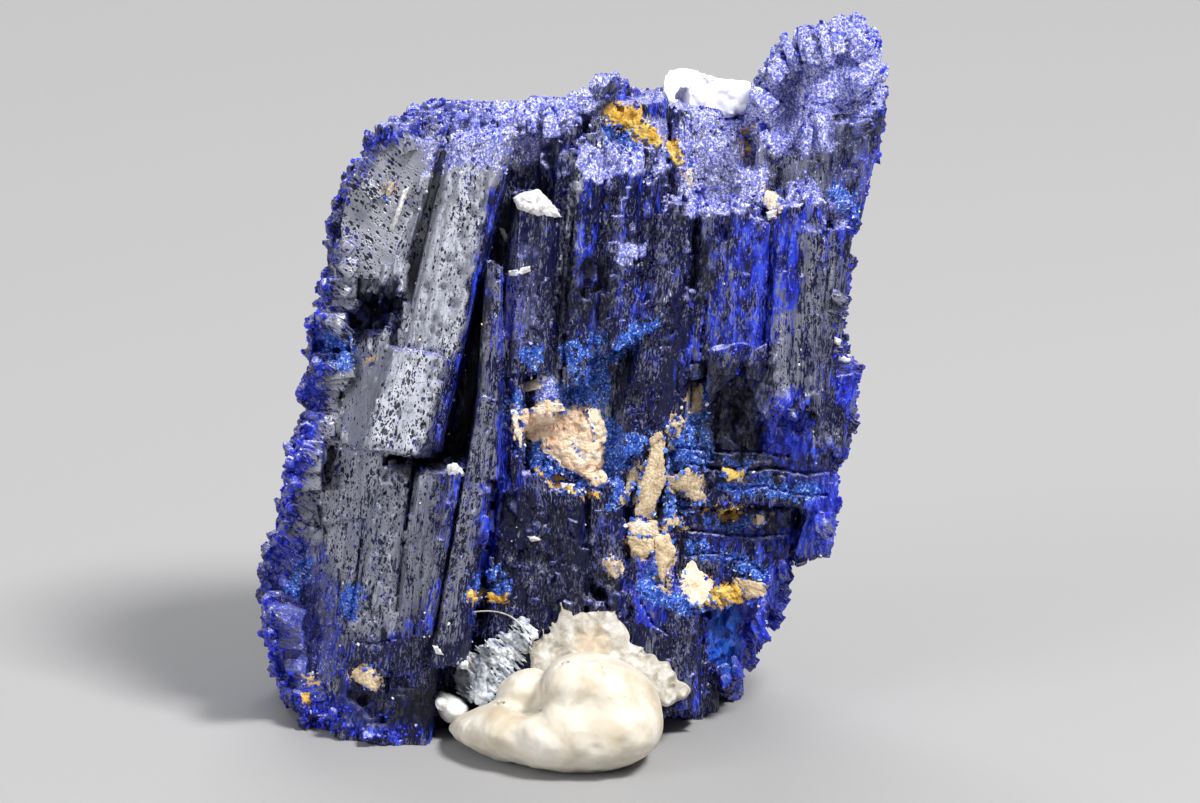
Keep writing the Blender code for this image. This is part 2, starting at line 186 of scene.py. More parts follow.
CENTRE = [
    (486, 476, -40,   495, 268, -26,   28, 13,    0,   4,   4, 10,   130,    8, 12),   # long blade, upper
    (448, 664, -36,   489, 398, -40,   36, 20,    0,   4,   6, 10,   130,    4, 12),   # long blade, lower
    (528, 372, -16,   536, 206,  -8,   46, 44,    4,   2,   4,  8,   120,   14, 22),   # column with the bright cut tip
    (549, 410,  -4,   568, 158,  14,   24, 22,    6,   0,   4,  6,   130,    4, 24),
    (576, 378, -12,   591, 148,   6,   22, 22,    0,   5,   4,  6,   130,    2, 26),
    (596, 352,   2,   610, 152,  16,   20, 18,    4,   0,   4,  6,   130,   -3, 26),
    (619, 344,  -6,   630, 158,   8,   24, 22,    0,   6,   4,  6,   130,    4, 24),
    (640, 330,  10,   652, 186,  20,   16, 14,    3,   0,   4,  6,   110,    2, 20),
    (664, 330,   2,   677, 214,   6,   34, 30,    0,   8,   4, 10,   130,    4, 26),   # bright-topped column
    (652, 452,  14,   670, 292,   4,   70, 50,    0,  14,  10,  8,   120,    0, 16),   # smooth dark face
    (508, 486,  -6,   513, 276, -10,   24, 14,    6,   0,   4,  4,   110,    0, 12),   # left lip of the pocket
    (512, 700,  10,   524, 476,   4,   66, 46,    0,   4,   8,  6,   120,    4, 16),   # under the pocket
    (560, 694,  12,   564, 492,   6,   42, 40,    6,   0,   4,  6,   120,    0, 14),
    (604, 694,  24,   606, 484,  20,   46, 36,    0,   0,   6,  6,   110,    0, 12),   # dark recess
    (656, 712,  14,   664, 588,  10,   80, 60,    4,  10,   6,  8,   120,    6, 18),   # dark blade over the putty
    (651, 596,  22,   654, 446,  26,   44, 34,    0,   4,   6,  6,   110,    4, 12),   # behind the tan slivers
]
CREST = [
    (505, 230,  42,   512, 116,  44,   66, 62,    6,   0,   6, 10,   160,   -2, 14),
    (556, 210,  50,   560, 110,  52,   52, 50,    0,   4,   6,  6,   160,    2, 12),
    (597, 200,  50,   607,  84,  54,   26, 16,    4,   0,   2,  2,   110,   -4, 10),   # dark plate
    (640, 220,  62,   640, 104,  70,   50, 44,    0,   6,   4,  6,   130,   -4, 14),
    (690, 260,  84,   697, 112, 104,   50, 46,    0,   4,   6,  6,   130,    8, 12),
    (722, 240,  80,   724, 132,  98,   38, 36,    6,   0,   4,  6,   120,    4, 18),
    (753, 300,  62,   754, 172,  78,   32, 32,    0,   4,   4,  6,   120,    2, 15),   # pale flat-topped column
]
RIGHT_SIDE = [
    (710, 360,  14,   722, 214,  20,   46, 44,   10,   0,   4,  8,   150,    8, 22),
    (744, 362,  16,   756, 222,  26,   30, 30,    0,   6,   4,  6,   150,    6, 18),
    (774, 400,  22,   786, 212,  34,   34, 30,    8,   0,   4,  6,   150,   -6, 22),
    (797, 400,  26,   800, 204,  36,   50, 48,    0,   6,   6,  8,   150,   -4, 20),   # bright flat top
    (812, 404,  30,   829, 230,  40,   40, 42,    0,  14,   6,  0,   120,    8, 18),   # grey pitted face
    (830, 452,  50,   842, 376,  52,   30, 28,    0,  12,  10,  0,   110,   -4, 10),   # right knee
    (793, 506,  48,   800, 384,  52,   64, 56,    6,   0,  10,  2,   120,   -4, 14),   # blue druse block
    (736, 476,  70,   738, 356,  66,   54, 50,    0,   0,   8,  8,   120,    0, 14),   # dark recess
    (686, 470,  44,   694, 386,  46,   44, 34,    0,  10,   6,  6,   120,   14, 18),   # pale ridge
    (750, 504,  46,   748, 462,  50,  150, 144,   6,   6,   6,  0,   100,   -4, 22),   # ledge
    (812, 550,  72,   826, 484,  74,   32, 22,    6,   6,  10,  0,    90,   -2,  8),   # blue plate under it
    (734, 604,  76,   750, 500,  80,   84, 98,    0,   8,   8,  0,   100,    0, 12),
    (698, 612,  56,   700, 500,  56,   50, 44,    0,   8,   6,  6,   120,    4, 16),
    (744, 620,  92,   762, 556,  90,   44, 36,    0,   6,   8,  0,    90,    0,  8),
    (716, 690, 100,   736, 588,  98,   36, 34,    4,   6,   6,  2,    80,   10,  8),   # azure-faced blade
    (690, 745,  84,   706, 590,  84,   24, 18,    0,   4,   6,  6,   100,    8, 10),   # dark column, right foot
]
SPUR = [
    (844, 232,  58,   848, 112,  60,   22, 72,    6,  14,   6,  0,   100,   -8, 24),   # ledge block
    (820, 246,  64,   826, 156,  66,   56, 84,    4,  10,   6,  0,   100,    2, 10),   # pitted lower face
    (852, 160,  92,   860,  32,  96,   50, 34,    6,  10,   4,  0,    70,   14,  9),   # top right
    (816, 160,  98,   824,  36, 100,   56, 44,    0,   8,   4,  6,    80,   -8, 10),   # top middle
    (788, 190, 104,   794,  50, 108,   60, 28,   16,   0,   6,  6,    80,  -14, 10),   # top left
    (762, 200, 100,   770,  88, 112,   60, 34,   20,   0,   6,  6,    90,  -22, 10),   # long left slope
]
BACK = [
    (330, 700, 232,   370, 222, 214,   50, 38,    0, -20,   4,  6,  -120,   -8, -10),
    (376, 700, 268,   402, 158, 244,   66, 50,    0, -12,   6,  6,  -130,  -10, -10),
    (438, 700, 292,   458, 132, 268,   72, 60,  -12,   0,   6,  6,  -130,    6, -12),
    (498, 700, 300,   520, 126, 286,   64, 58,    0,  -8,   4,  8,  -130,   -6, -12),
    (556, 700, 312,   574, 116, 292,   66, 60,   -8,   0,   6,  4,  -140,    6, -12),
    (618, 690, 300,   634, 128, 280,   64, 56,    0, -10,   4,  6,  -130,   -4, -10),
    (670, 690, 286,   690, 164, 262,   58, 54,  -10,   0,   6,  4,  -130,    6, -12),
    (716, 640, 258,   740, 176, 240,   50, 54,    0, -14,   4,  4,  -120,   -6, -10),
    (762, 556, 236,   790, 128, 214,   44, 46,   -8,   0,   6,  2,  -120,    8, -10),
    (800, 490, 200,   832, 112, 184,   40, 46,    0, -16,   4,  4,  -110,    4, -10),
    (346, 560, 262,   366, 392, 252,   46, 40,    0, -10,   4,  4,   -80,    4, -12),
    (476, 520, 322,   486, 300, 310,   48, 40,  -10,   0,   4,  4,   -90,   -6, -14),
    (600, 560, 326,   612, 252, 312,   40, 36,    0,  -6,   4,  4,   -90,    4, -14),
    (704, 480, 292,   716, 300, 278,   36, 34,   -6,   0,   4,  4,   -80,    6, -12),
]
BODY = [
    (360, 752, 110,   408, 176,  96,  110, 60,   10,   0,   0,  0,   110,    0,  8),
    (430, 752,  60,   470, 150,  52,  150, 110,   0,   0,   0,  0,   200,    0,  8),
    (560, 752,  70,   580, 150,  60,  190, 160,   0,   0,   0,  0,   200,    0,  8),
    (664, 752, 100,   700, 170, 104,   96, 130,   0,   0,   0,  0,   150,    0,  8),
    (742, 556,  96,   770, 180,  90,   84, 110,   0,   0,   0,  0,   130,    0,  8),
    (800, 464,  84,   822, 130,  90,   44, 60,    0,   0,   0,  0,    90,    0,  8),
    (572, 500,  44,   574, 320,  46,  130, 120,   0,   0,   0,  0,    60,    0,  8),   # floor of the pocket
]
WHITE = [
    (692, 150, 170,   688,  80, 176,   70, 46,   10,   0,   0,  0,    70,    4, 12),
    (730, 160, 160,   730,  96, 170,   50, 38,    6,   0,   0,  0,    60,    4, 12),
]
MATRIX = [
    (556, 474,  22,   566, 414,  22,   66, 74,    8,  12,   8,  8,    50,   12,  4),   # pink matrix lump in the pocket
]

RIMS = [
    ([(474, 118), (434, 126), (400, 140), (376, 162), (360, 190), (350, 228), (342, 264), (338, 298), (330, 332),
      (328, 366), (318, 390), (322, 414), (308, 446), (302, 490), (298, 522), (286, 558), (280, 602), (286, 650),
      (302, 690), (326, 714)], (56, 210), 66, (8, 22), (12, 20), 200),
    ([(474, 116), (520, 114), (560, 110), (590, 96), (612, 86), (640, 100)], (40, 150), 16, (6, 14), (9, 16), 300),
    ([(758, 98), (768, 72), (788, 52), (814, 40), (846, 28), (864, 42), (872, 64), (874, 98), (870, 132),
      (856, 176), (844, 214)], (76, 150), 28, (8, 18), (10, 16), 340),
    ([(840, 250), (828, 300), (826, 340), (840, 378), (838, 410), (830, 444), (814, 472), (824, 492), (816, 526),
      (800, 548), (776, 562), (766, 604), (744, 630), (736, 662), (708, 682)], (70, 150), 28, (4, 11), (10, 16), 380),
]


def hashed(index, k):
    x = math.sin(index * 12.9898 + k * 78.233 + 4.7) * 43758.5453
    return x - math.floor(x)


def corners(c, index):
    (fu, fv, fd, tu, tv, td, wf, wt, back_l, back_r, flare_l, flare_r, deep, cut, rise) = c
    side = 1.0 if deep > 0 else -1.0
    bev_l, bev_r = 0.05 + 0.11 * hashed(index, 1), 0.05 + 0.11 * hashed(index, 2)
    in_l, in_r = side * (6 + 12 * hashed(index, 3)), side * (6 + 12 * hashed(index, 4))
    slant = (hashed(index, 5) - 0.5) * 0.35
    out = []
    for u, v, d, w, c_lr, c_fb, s in ((fu, fv, fd, wf, slant * wf, 0.0, 0), (tu, tv, td, wt, cut, rise, 8)):
        wob = [(hashed(index, 10 + s + k) - 0.5) * 2.4 for k in range(6)]
        lift = 3.0 * hashed(index, 30 + s) * (1 if s else 0)
        out.append((u - w * (0.5 - bev_l), v - c_lr * 0.4, d + back_l * (1 - bev_l) + wob[0]))
        out.append((u + w * (0.5 - bev_r), v + c_lr * 0.4, d + back_r * (1 - bev_r) + wob[1]))
        out.append((u + w / 2, v + c_lr / 2 + lift, d + back_r + in_r + wob[2]))
        out.append((u + w / 2 + flare_r + wob[3], v + c_lr / 2 - c_fb, d + back_r + deep + wob[3]))
        out.append((u - w / 2 - flare_l + wob[4], v - c_lr / 2 - c_fb, d + back_l + deep + wob[4]))
        out.append((u - w / 2, v - c_lr / 2 + lift, d + back_l + in_l + wob[5]))
    return [place(*p) for p in out]


def along(points, t):
    spans = [math.dist(p, q) for p, q in zip(points, points[1:])]
    s = t * sum(spans)
    for (p, q), span in zip(zip(points, points[1:]), spans):
        if s <= span:
            break
        s -= span
    f = min(s / span, 1.0)
    return p[0] + (q[0] - p[0]) * f, p[1] + (q[1] - p[1]) * f, (q[0] - p[0]) / span, (q[1] - p[1]) / span


def nub_corners(rim, i):
    points, (near, far), count, (l0, l1), (w0, w1), first = rim
    k = first + i
    x, y, tx, ty = along(points, (i + 0.5 * hashed(k, 1)) / count)
    nx, ny = ty, -tx
    if points[0][0] > points[-1][0] and points[0][1] < points[-1][1]:
        nx, ny = (ty, -tx) if nx < 0 else (-ty, tx)
    ny -= 0.55
    norm = math.hypot(nx, ny)
    nx, ny = nx / norm, ny / norm
    length = l0 + (l1 - l0) * hashed(k, 2)
    half = 0.5 * (w0 + (w1 - w0) * hashed(k, 3))
    d = near + (far - near) * hashed(k, 4)
    px, py = -ny, nx
    out = []
    for reach, size in ((-14.0, 1.25), (length * 0.55, 1.0), (length, 0.45)):
        for su, sd in ((-1, -0.7), (1, -0.5), (1, 0.8), (-1, 1.0)):
            j = (hashed(k, 10 + len(out)) - 0.5) * 2.0
            out.append((x + nx * reach + px * half * size * su + j,
                        y + ny * reach + py * half * size * su - j,
                        d + sd * half * size * 1.3))
    return [place(*p) for p in out]


# ------------------------------------------------------------------ noise on fixed random tables
_R = np.random.RandomState(71)
TABLE1 = _R.rand(4096).astype(np.float32)
TABLE2 = _R.rand(256, 256).astype(np.float32)
TABLE3 = _R.rand(64, 64, 64).astype(np.float32)


def _ease(f, sharp):
    w = np.clip((f - 0.5) * sharp + 0.5, 0, 1)
    return w * w * (3 - 2 * w)


def n1(x, seed, sharp=1.0):
    x = x + seed * 37.0
    i = np.floor(x)
    w = _ease(x - i, sharp)
    i = i.astype(np.int64)
    return TABLE1[i & 4095] * (1 - w) + TABLE1[(i + 1) & 4095] * w


def n2(x, y, seed, sharp=1.0):
    x, y = x + seed * 17.0, y + seed * 29.0
    i, j = np.floor(x), np.floor(y)
    wx, wy = _ease(x - i, sharp), _ease(y - j, sharp)
    i, j = i.astype(np.int64), j.astype(np.int64)
    a = TABLE2[i & 255, j & 255] * (1 - wx) + TABLE2[(i + 1) & 255, j & 255] * wx
    b = TABLE2[i & 255, (j + 1) & 255] * (1 - wx) + TABLE2[(i + 1) & 255, (j + 1) & 255] * wx
    return a * (1 - wy) + b * wy


def n3(p, scale, seed, sharp=1.0):
    q = p / scale + seed * 13.37
    i = np.floor(q)
    w = _ease(q - i, sharp)
    i = i.astype(np.int64)
    x0, y0, z0 = (i[:, 0] & 63), (i[:, 1] & 63), (i[:, 2] & 63)
    x1, y1, z1 = (x0 + 1) & 63, (y0 + 1) & 63, (z0 + 1) & 63
    wx, wy, wz = w[:, 0], w[:, 1], w[:, 2]
    a = TABLE3[x0, y0, z0] * (1 - wx) + TABLE3[x1, y0, z0] * wx
    b = TABLE3[x0, y1, z0] * (1 - wx) + TABLE3[x1, y1, z0] * wx
    c = TABLE3[x0, y0, z1] * (1 - wx) + TABLE3[x1, y0, z1] * wx
    e = TABLE3[x0, y1, z1] * (1 - wx) + TABLE3[x1, y1, z1] * wx
    return (a * (1 - wy) + b * wy) * (1 - wz) + (c * (1 - wy) + e * wy) * wz


# ------------------------------------------------------------------ convex solids and their distance field
class Convex:
    """A convex solid from its corner points, with a frame of its own: across, deep and along."""

    def __init__(self, pts, foot=None, tip=None, style="nub", index=0):
        self.pts = np.array(pts, float)
        bm = bmesh.new()
        for p in self.pts:
            bm.verts.new(p)
        bmesh.ops.convex_hull(bm, input=bm.verts)
        planes = []
        for f in bm.faces:
            a, b, c = [np.array(v.co) for v in f.verts][:3]
            n = np.cross(b - a, c - a)
            ln = np.linalg.norm(n)
            if ln < 1e-3:
                continue
            n = n / ln
            planes.append((n, float(n @ a)))
        bm.free()
        mid = self.pts.mean(0)
        out = []
        for n, c in planes:
            if n @ mid - c > 0:
                n, c = -n, -c
            if not any(m @ n > 0.9998 and abs(e - c) < 0.4 for m, e in out):
                out.append((n, c))
        self.n = np.array([n for n, c in out])
        self.c = np.array([c for n, c in out])
        self.style, self.index = style, index
        self.lo, self.hi = self.pts.min(0), self.pts.max(0)
        if foot is not None:
            axis = tip - foot
            self.length = float(np.linalg.norm(axis))
            self.a = axis / self.length
            r = RIGHT - self.a * (RIGHT @ self.a)
            self.r = r / np.linalg.norm(r)
            self.w = np.cross(self.a, self.r)
            self.foot = foot


STYLE = {   # child width, stand-out, share of length covered, tip overshoot, density, cap height, cap size, cap lean
    "block": ((9, 20), (0.3, 1.0), (0.15, 0.5), 1.5, 0.35, 4.0, 7.0, 0.10),
    "left": ((5, 13), (0.3, 1.5), (0.30, 0.8), 6.0, 0.6, 6.0, 7.0, 0.25),
    "blade": ((4, 9), (0.3, 1.2), (0.3, 0.8), 4.0, 0.6, 5.0, 5.0, 0.15),
    "column": ((3.5, 8), (0.5, 4.0), (0.25, 0.85), 7.0, 1.25, 9.0, 6.0, 0.15),
    "right": ((4, 9), (0.5, 3.6), (0.25, 0.85), 7.0, 1.15, 9.0, 6.5, 0.2),
    "ledge": ((4, 9), (0.8, 3.4), (0.12, 0.45), 4.0, 1.1, 6.0, 6.0, 0.8),
    "spur": ((4, 8), (0.8, 3.4), (0.10, 0.4), 4.0, 1.1, 5.5, 6.0, 0.7),
    "back": ((6, 15), (0.8, 4.5), (0.2, 0.7), 10.0, 1.0, 13.0, 9.0, 0.2),
    "body": ((6, 14), (0.6, 3.5), (0.2, 0.7), 8.0, 1.0, 10.0, 8.0, 0.25),
    "lump": None,
}


def crystals():
    out = []
    i = 0
    groups = ((LEFT_FACE, "left"), (CENTRE, "column"), (CREST, "spur"), (RIGHT_SIDE, "right"), (SPUR, "spur"),
              (BACK, "back"), (BODY, "body"), (WHITE, "lump"), (MATRIX, "lump"))
    for group, style in groups:
        for k, c in enumerate(group):
            st = style
            if group is LEFT_FACE and k in (0, 1):
                st = "block"
            if group is CENTRE and k in (0, 1, 9):
                st = "blade"
            if group is RIGHT_SIDE and k in (6, 7, 8, 9, 11, 12):
                st = "ledge"
            pts = np.array(corners(c, i))
            out.append(Convex(pts, pts[:6].mean(0), pts[6:].mean(0), st, i))
            i += 1
    for rim in RIMS:
        for k in range(rim[2]):
            pts = np.array(nub_corners(rim, k))
            out.append(Convex(pts, pts[:4].mean(0), pts[8:].mean(0), index=rim[5] + k))
    return out


def ring_point(ring, f):
    """A point at fraction f around a closed ring of corner points, and the way along it."""
    nxt = np.roll(ring, -1, axis=0)
    seg = np.linalg.norm(nxt - ring, axis=1)
    s = (f % 1.0) * seg.sum()
    for p, q, ln in zip(ring, nxt, seg):
        if s <= ln:
            return p + (q - p) * (s / ln), (q - p) / max(ln, 1e-6)
        s -= ln
    return ring[0], (ring[1] - ring[0]) / max(seg[0], 1e-6)


def wid_ok(tip, foot):
    """Tips that end on the outline stay short, so none stands up alone on the skyline."""
    u, v, d = unplace(tip[None])
    return v[0] > 150.0


def children(cx, rng):
    """Narrow parallel crystals standing a little out of a blade's faces, and stepped ones on its two ends."""
    look = STYLE[cx.style]
    if look is None:
        return []
    (w0, w1), (p0, p1), (c0, c1), over, dens, cap_h, cap_w, lean = look
    foot, tip = cx.pts[:6], cx.pts[6:]
    nxt = np.roll(foot, -1, axis=0)
    around = np.linalg.norm(nxt - foot, axis=1).sum()
    n = int(around / (0.5 * (w0 + w1)) * dens * 1.3)
    out = []
    for _ in range(n):
        f = rng.rand()
        a0, way = ring_point(foot, f)
        b0, way2 = ring_point(tip, f)
        axis = b0 - a0
        ln = np.linalg.norm(axis)
        if ln < 14:
            continue
        axis = axis / ln
        way = way - axis * (way @ axis)
        k = np.linalg.norm(way)
        if k < 0.2:
            continue
        way = way / k
        outw = np.cross(way, axis)
        if outw @ (a0 - cx.foot) < 0:
            outw = -outw
        share = c0 + (c1 - c0) * rng.rand()
        t0 = rng.rand() * (1 - share) if rng.rand() > 0.35 else (-over / ln * rng.rand())
        t1 = t0 + share
        if rng.rand() < 0.45:
            t1 = 1.0 + over / ln * rng.rand() * (1.2 if wid_ok(b0, a0) else 0.3)
        wid = w0 + (w1 - w0) * rng.rand()
        stick = p0 + (p1 - p0) * rng.rand() ** 1.6
        sharp = rng.rand()
        back = 7.0
        pts = []
        a, b = a0 + (b0 - a0) * t0, a0 + (b0 - a0) * t1
        slope = (rng.rand() - 0.5) * wid * 1.3
        drop = rng.rand() * 6.0
        for base, end in ((a, 0), (b, 1)):
            st = stick * (0.6 + 0.8 * rng.rand()) if end == 0 else stick
            for q, o in ((-0.5, -back), (0.5, -back), (0.5, 0.15 * st), (-0.5, 0.15 * st)):
                k = slope * q * end + (drop if (o > 0 and end) else 0.0) * -1
                pts.append(base + way * wid * q + outw * o + axis * k)
            if sharp < 0.5:
                pts.append(base + way * wid * (sharp - 0.25) + outw * st + axis * (-drop * end))
            else:
                pts.append(base - way * wid * 0.28 + outw * st - axis * (drop * end + slope * 0.28 * end))
                pts.append(base + way * wid * 0.28 + outw * st - axis * (drop * end - slope * 0.28 * end))
        out.append((pts, a, b, way))
    # short wide growth steps, some of them bridging to the next blade
    ln = float(np.linalg.norm(tip.mean(0) - foot.mean(0)))
    wide = {"block": (0.35, 8, 18, 0.4, 1.0), "blade": (0.5, 6, 12, 0.4, 1.4), "left": (0.8, 9, 24, 0.5, 2.2),
            "back": (0.8, 9, 26, 1.0, 4.5)}.get(cx.style, (1.0, 7, 20, 0.8, 3.6))
    for _ in range(int(around * ln / 1500.0 * wide[0])):
        f, t = rng.rand(), rng.rand()
        a0, way = ring_point(foot, f)
        b0, way2 = ring_point(tip, f)
        axis = b0 - a0
        k = np.linalg.norm(axis)
        if k < 14:
            continue
        axis = axis / k
        way = way - axis * (way @ axis)
        k = np.linalg.norm(way)
        if k < 0.2:
            continue
        way = way / k
        outw = np.cross(way, axis)
        if outw @ (a0 - cx.foot) < 0:
            outw = -outw
        axis = axis + way * (rng.rand() - 0.5) * 0.22
        axis = axis / np.linalg.norm(axis)
        wid, hgt = wide[1] + (wide[2] - wide[1]) * rng.rand() ** 1.5, 10 + 46 * rng.rand() ** 1.6
        st = wide[3] + (wide[4] - wide[3]) * rng.rand() ** 1.4
        whole = float(np.linalg.norm(b0 - a0))
        hgt = min(hgt, whole * 0.8)
        t = (hgt * 0.5 - 2.0 + t * (whole - hgt + 3.0)) / whole
        c0 = a0 + (b0 - a0) * t
        tilt_o = (rng.rand() - 0.5) * 0.12
        pts = []
        for e in (-0.5, 0.5):
            sl = (rng.rand() - 0.5) * wid * 0.8
            for q, o in ((-0.5, -8.0), (0.5, -8.0), (0.5, st * 0.4), (0.3, st), (-0.32, st), (-0.5, st * 0.5)):
                j = (rng.rand() - 0.5) * 1.6
                pts.append(c0 + axis * (hgt * e + sl * q * 2 + j) + way * (wid * q + j) + outw * (o + hgt * e * tilt_o))
        out.append((pts, c0 - axis * hgt * 0.5, c0 + axis * hgt * 0.5, way))
    # stepped ends
    for ring, sign, count_scale in ((tip, 1.0, 1.0), (foot, -1.0, 0.5)):
        mid = ring.mean(0)
        u1, u2 = ring[1] - mid, ring[4] - mid
        area = 0.0
        for p, q in zip(ring, np.roll(ring, -1, axis=0)):
            area += 0.5 * np.linalg.norm(np.cross(p - mid, q - mid))
        m = int(min(area / (cap_w * cap_w) * 1.1 * count_scale, 90))
        for _ in range(m):
            f, g = rng.rand(), math.sqrt(rng.rand()) * 0.96
            e, _w = ring_point(ring, f)
            base = mid + (e - mid) * g
            axis = cx.a * sign + (RIGHT * (rng.rand() - 0.5) + UP * (rng.rand() - 0.5) * 0.5
                                  + SIGHT_DIR * (rng.rand() - 0.5)) * 2 * lean
            axis = axis / np.linalg.norm(axis)
            way = np.cross(axis, cx.w)
            kk = np.linalg.norm(way)
            if kk < 0.1:
                continue
            way = way / kk
            turn = rng.rand() * 6.28 if lean > 0.3 else (rng.rand() - 0.5) * 0.9
            dep = np.cross(axis, way)
            way, dep = way * math.cos(turn) + dep * math.sin(turn), dep * math.cos(turn) - way * math.sin(turn)
            wid, hgt = cap_w * (0.5 + rng.rand()), cap_h * rng.rand() ** 1.3
            flat = 0.45 + 0.4 * rng.rand()
            rise = (rng.rand() - 0.5) * wid * 0.9
            pts = []
            for q, e1 in ((-12.0, 0), (hgt, 1)):
                for x, y in ((-1, -0.6), (0, -1), (1, -0.5), (1, 0.6), (0, 1), (-1, 0.5)):
                    pts.append(base + axis * (q + e1 * rise * x * 0.6) + (way * x + dep * y * flat) * wid * 0.5
                               * (1.0 - 0.3 * e1))
            out.append((pts, base - axis * 12, base + axis * max(hgt, 1.0), way))
    return out


def local(cx, p):
    q = p - cx.foot
    return q @ cx.r, q @ cx.w, q @ cx.a


H = 1.8
LOW = np.array([-352.0, -150.0, -14.0])
HIGH = np.array([306.0, 262.0, 724.0])
DIMS = np.ceil((HIGH - LOW) / H).astype(int) + 1
X = [LOW[a] + H * np.arange(DIMS[a]) for a in range(3)]
S = np.full(DIMS, 30.0, np.float32)
K = np.full(DIMS, -1, np.int16)


def stamp(cx, k, pits=None):
    i0 = np.maximum(np.floor((cx.lo - 5 - LOW) / H).astype(int), 0)
    i1 = np.minimum(np.ceil((cx.hi + 5 - LOW) / H).astype(int) + 1, DIMS)
    if np.any(i1 <= i0):
        return
    x, y, z = (X[a][i0[a]:i1[a]].astype(np.float32) for a in range(3))
    s = None
    for n, c in zip(cx.n, cx.c):
        t = (n[0] * x - c).astype(np.float32)[:, None, None] + (n[1] * y).astype(np.float32)[None, :, None] \
            + (n[2] * z).astype(np.float32)[None, None, :]
        s = t if s is None else np.maximum(s, t, out=s)
    if pits is not None:
        near = np.flatnonzero((s.ravel() > -7) & (s.ravel() < 4))
        ii, jj, kk = np.unravel_index(near, s.shape)
        ls, lw, lt = local(cx, np.stack((x[ii], y[jj], z[kk]), 1))
        cell, deep = pits
        gx, gy = ls / cell, lt / cell + 0.4 * lw / cell
        r = np.zeros(len(near), np.float32)
        for ox in (-1, 0, 1):
            for oy in (-1, 0, 1):
                cxi, cyi = np.floor(gx).astype(int) + ox, np.floor(gy).astype(int) + oy
                h1 = TABLE2[(cxi * 7 + k * 3) & 255, (cyi * 13 + k) & 255]
                h2 = TABLE2[(cxi * 5 + 91) & 255, (cyi * 3 + k * 7) & 255]
                h3 = TABLE2[(cxi * 11 + 17) & 255, (cyi * 17 + 5) & 255]
                dist = np.hypot(gx - cxi - h1, (gy - cyi - h2) * 0.8)
                rad = 0.12 + 0.30 * h3 * h3
                r = np.maximum(r, np.clip((rad - dist) / 0.16, 0, 1) * deep * (0.4 + h3))
        flat = s.ravel()
        flat[near] += r
        s = flat.reshape(s.shape)
    view = S[i0[0]:i1[0], i0[1]:i1[1], i0[2]:i1[2]]
    kview = K[i0[0]:i1[0], i0[1]:i1[1], i0[2]:i1[2]]
    less = s < view
    np.copyto(view, s, where=less)
    np.copyto(kview, np.int16(k), where=less)


def sample(p):
    i = np.clip(np.round((p - LOW) / H).astype(int), 0, DIMS - 1)
    return S[i[..., 0], i[..., 1], i[..., 2]]


RUBBLE = [
    (300, (5, 15), [(476, 484), (560, 490), (620, 500), (640, 560), (640, 640), (560, 650), (470, 640), (478, 560)], 101),
    (160, (5, 14), [(555, 250), (690, 240), (690, 330), (620, 330), (560, 325), (530, 330)], 102),
    (150, (5, 15), [(560, 130), (650, 135), (690, 180), (690, 230), (560, 235), (545, 180)], 103),
    (300, (4, 9), [(745, 95), (765, 60), (800, 25), (850, 14), (885, 45), (888, 105), (830, 110), (835, 160),
                    (770, 160)], 104),
    (200, (4, 12), [(660, 440), (760, 450), (835, 460), (838, 540), (790, 560), (700, 560), (660, 520)], 105),
    (160, (5, 14), [(690, 365), (770, 365), (800, 390), (850, 400), (830, 460), (700, 450)], 106),
    (240, (4, 10), [(265, 540), (330, 530), (345, 620), (345, 715), (300, 705), (265, 620)], 107),
    (170, (4, 9), [(290, 400), (345, 400), (345, 530), (290, 530)], 108),
    (240, (4, 9), [(400, 125), (480, 105), (560, 100), (600, 80), (605, 130), (560, 145), (520, 165), (440, 160),
                    (400, 150)], 109),
    (140, (5, 14), [(700, 120), (770, 150), (840, 205), (850, 240), (780, 235), (700, 215)], 110),
    (200, (6, 15), [(610, 560), (700, 560), (770, 570), (765, 700), (640, 720), (600, 640)], 111),
    (130, (4, 9), [(320, 225), (360, 190), (352, 300), (340, 380), (305, 380), (318, 300)], 112),
    (170, (9, 24), [(680, 352), (790, 356), (788, 468), (676, 462)], 114),
    (90, (8, 20), [(333, 268), (412, 266), (414, 340), (333, 344)], 115),
    (120, (5, 13), [(440, 640), (500, 600), (560, 640), (560, 720), (440, 740), (345, 735), (340, 690)], 113),
]


def block(u, v, d, sizes, rng):
    """One small tabular block set a little into the surface at (u, v)."""
    lean = math.radians(8 + 16 * rng.randn() * 0.6)
    tip_d = 0.35 * rng.randn() * 0.5
    a = RIGHT * math.sin(lean) + UP * math.cos(lean) + SIGHT_DIR * tip_d
    a = a / np.linalg.norm(a)
    o = -SIGHT_DIR + RIGHT * rng.randn() * 0.28 + UP * rng.randn() * 0.20
    o = o - a * (o @ a)
    o = o / np.linalg.norm(o)
    w = np.cross(o, a)
    size = sizes[0] + (sizes[1] - sizes[0]) * rng.rand() ** 2
    wid, hgt, st = size * (0.6 + 0.5 * rng.rand()), size * (0.8 + 1.3 * rng.rand()), 0.8 + 0.24 * size * rng.rand()
    if sizes[1] < 11:
        hgt = size * (0.6 + 0.6 * rng.rand())
    c = place(u, v, d)
    pts = []
    for e in (-0.5, 0.5):
        sl = (rng.rand() - 0.5) * wid * 0.9
        for q, oo in ((-0.5, -6.0), (0.5, -6.0), (0.5, st * 0.3), (0.28, st), (-0.28, st), (-0.5, st * 0.35)):
            j = (rng.rand() - 0.5) * 1.6
            pts.append(c + a * (hgt * e + sl * q * 2 + j) + w * (wid * q + j) + o * (oo + j * 0.4))
    ch = Convex(pts)
    if len(ch.n) < 4:
        return
    i = np.clip(np.round((c + SIGHT_DIR * 2 - LOW) / H).astype(int), 0, DIMS - 1)
    k = int(K[tuple(i)])
    stamp(ch, max(k, 0))


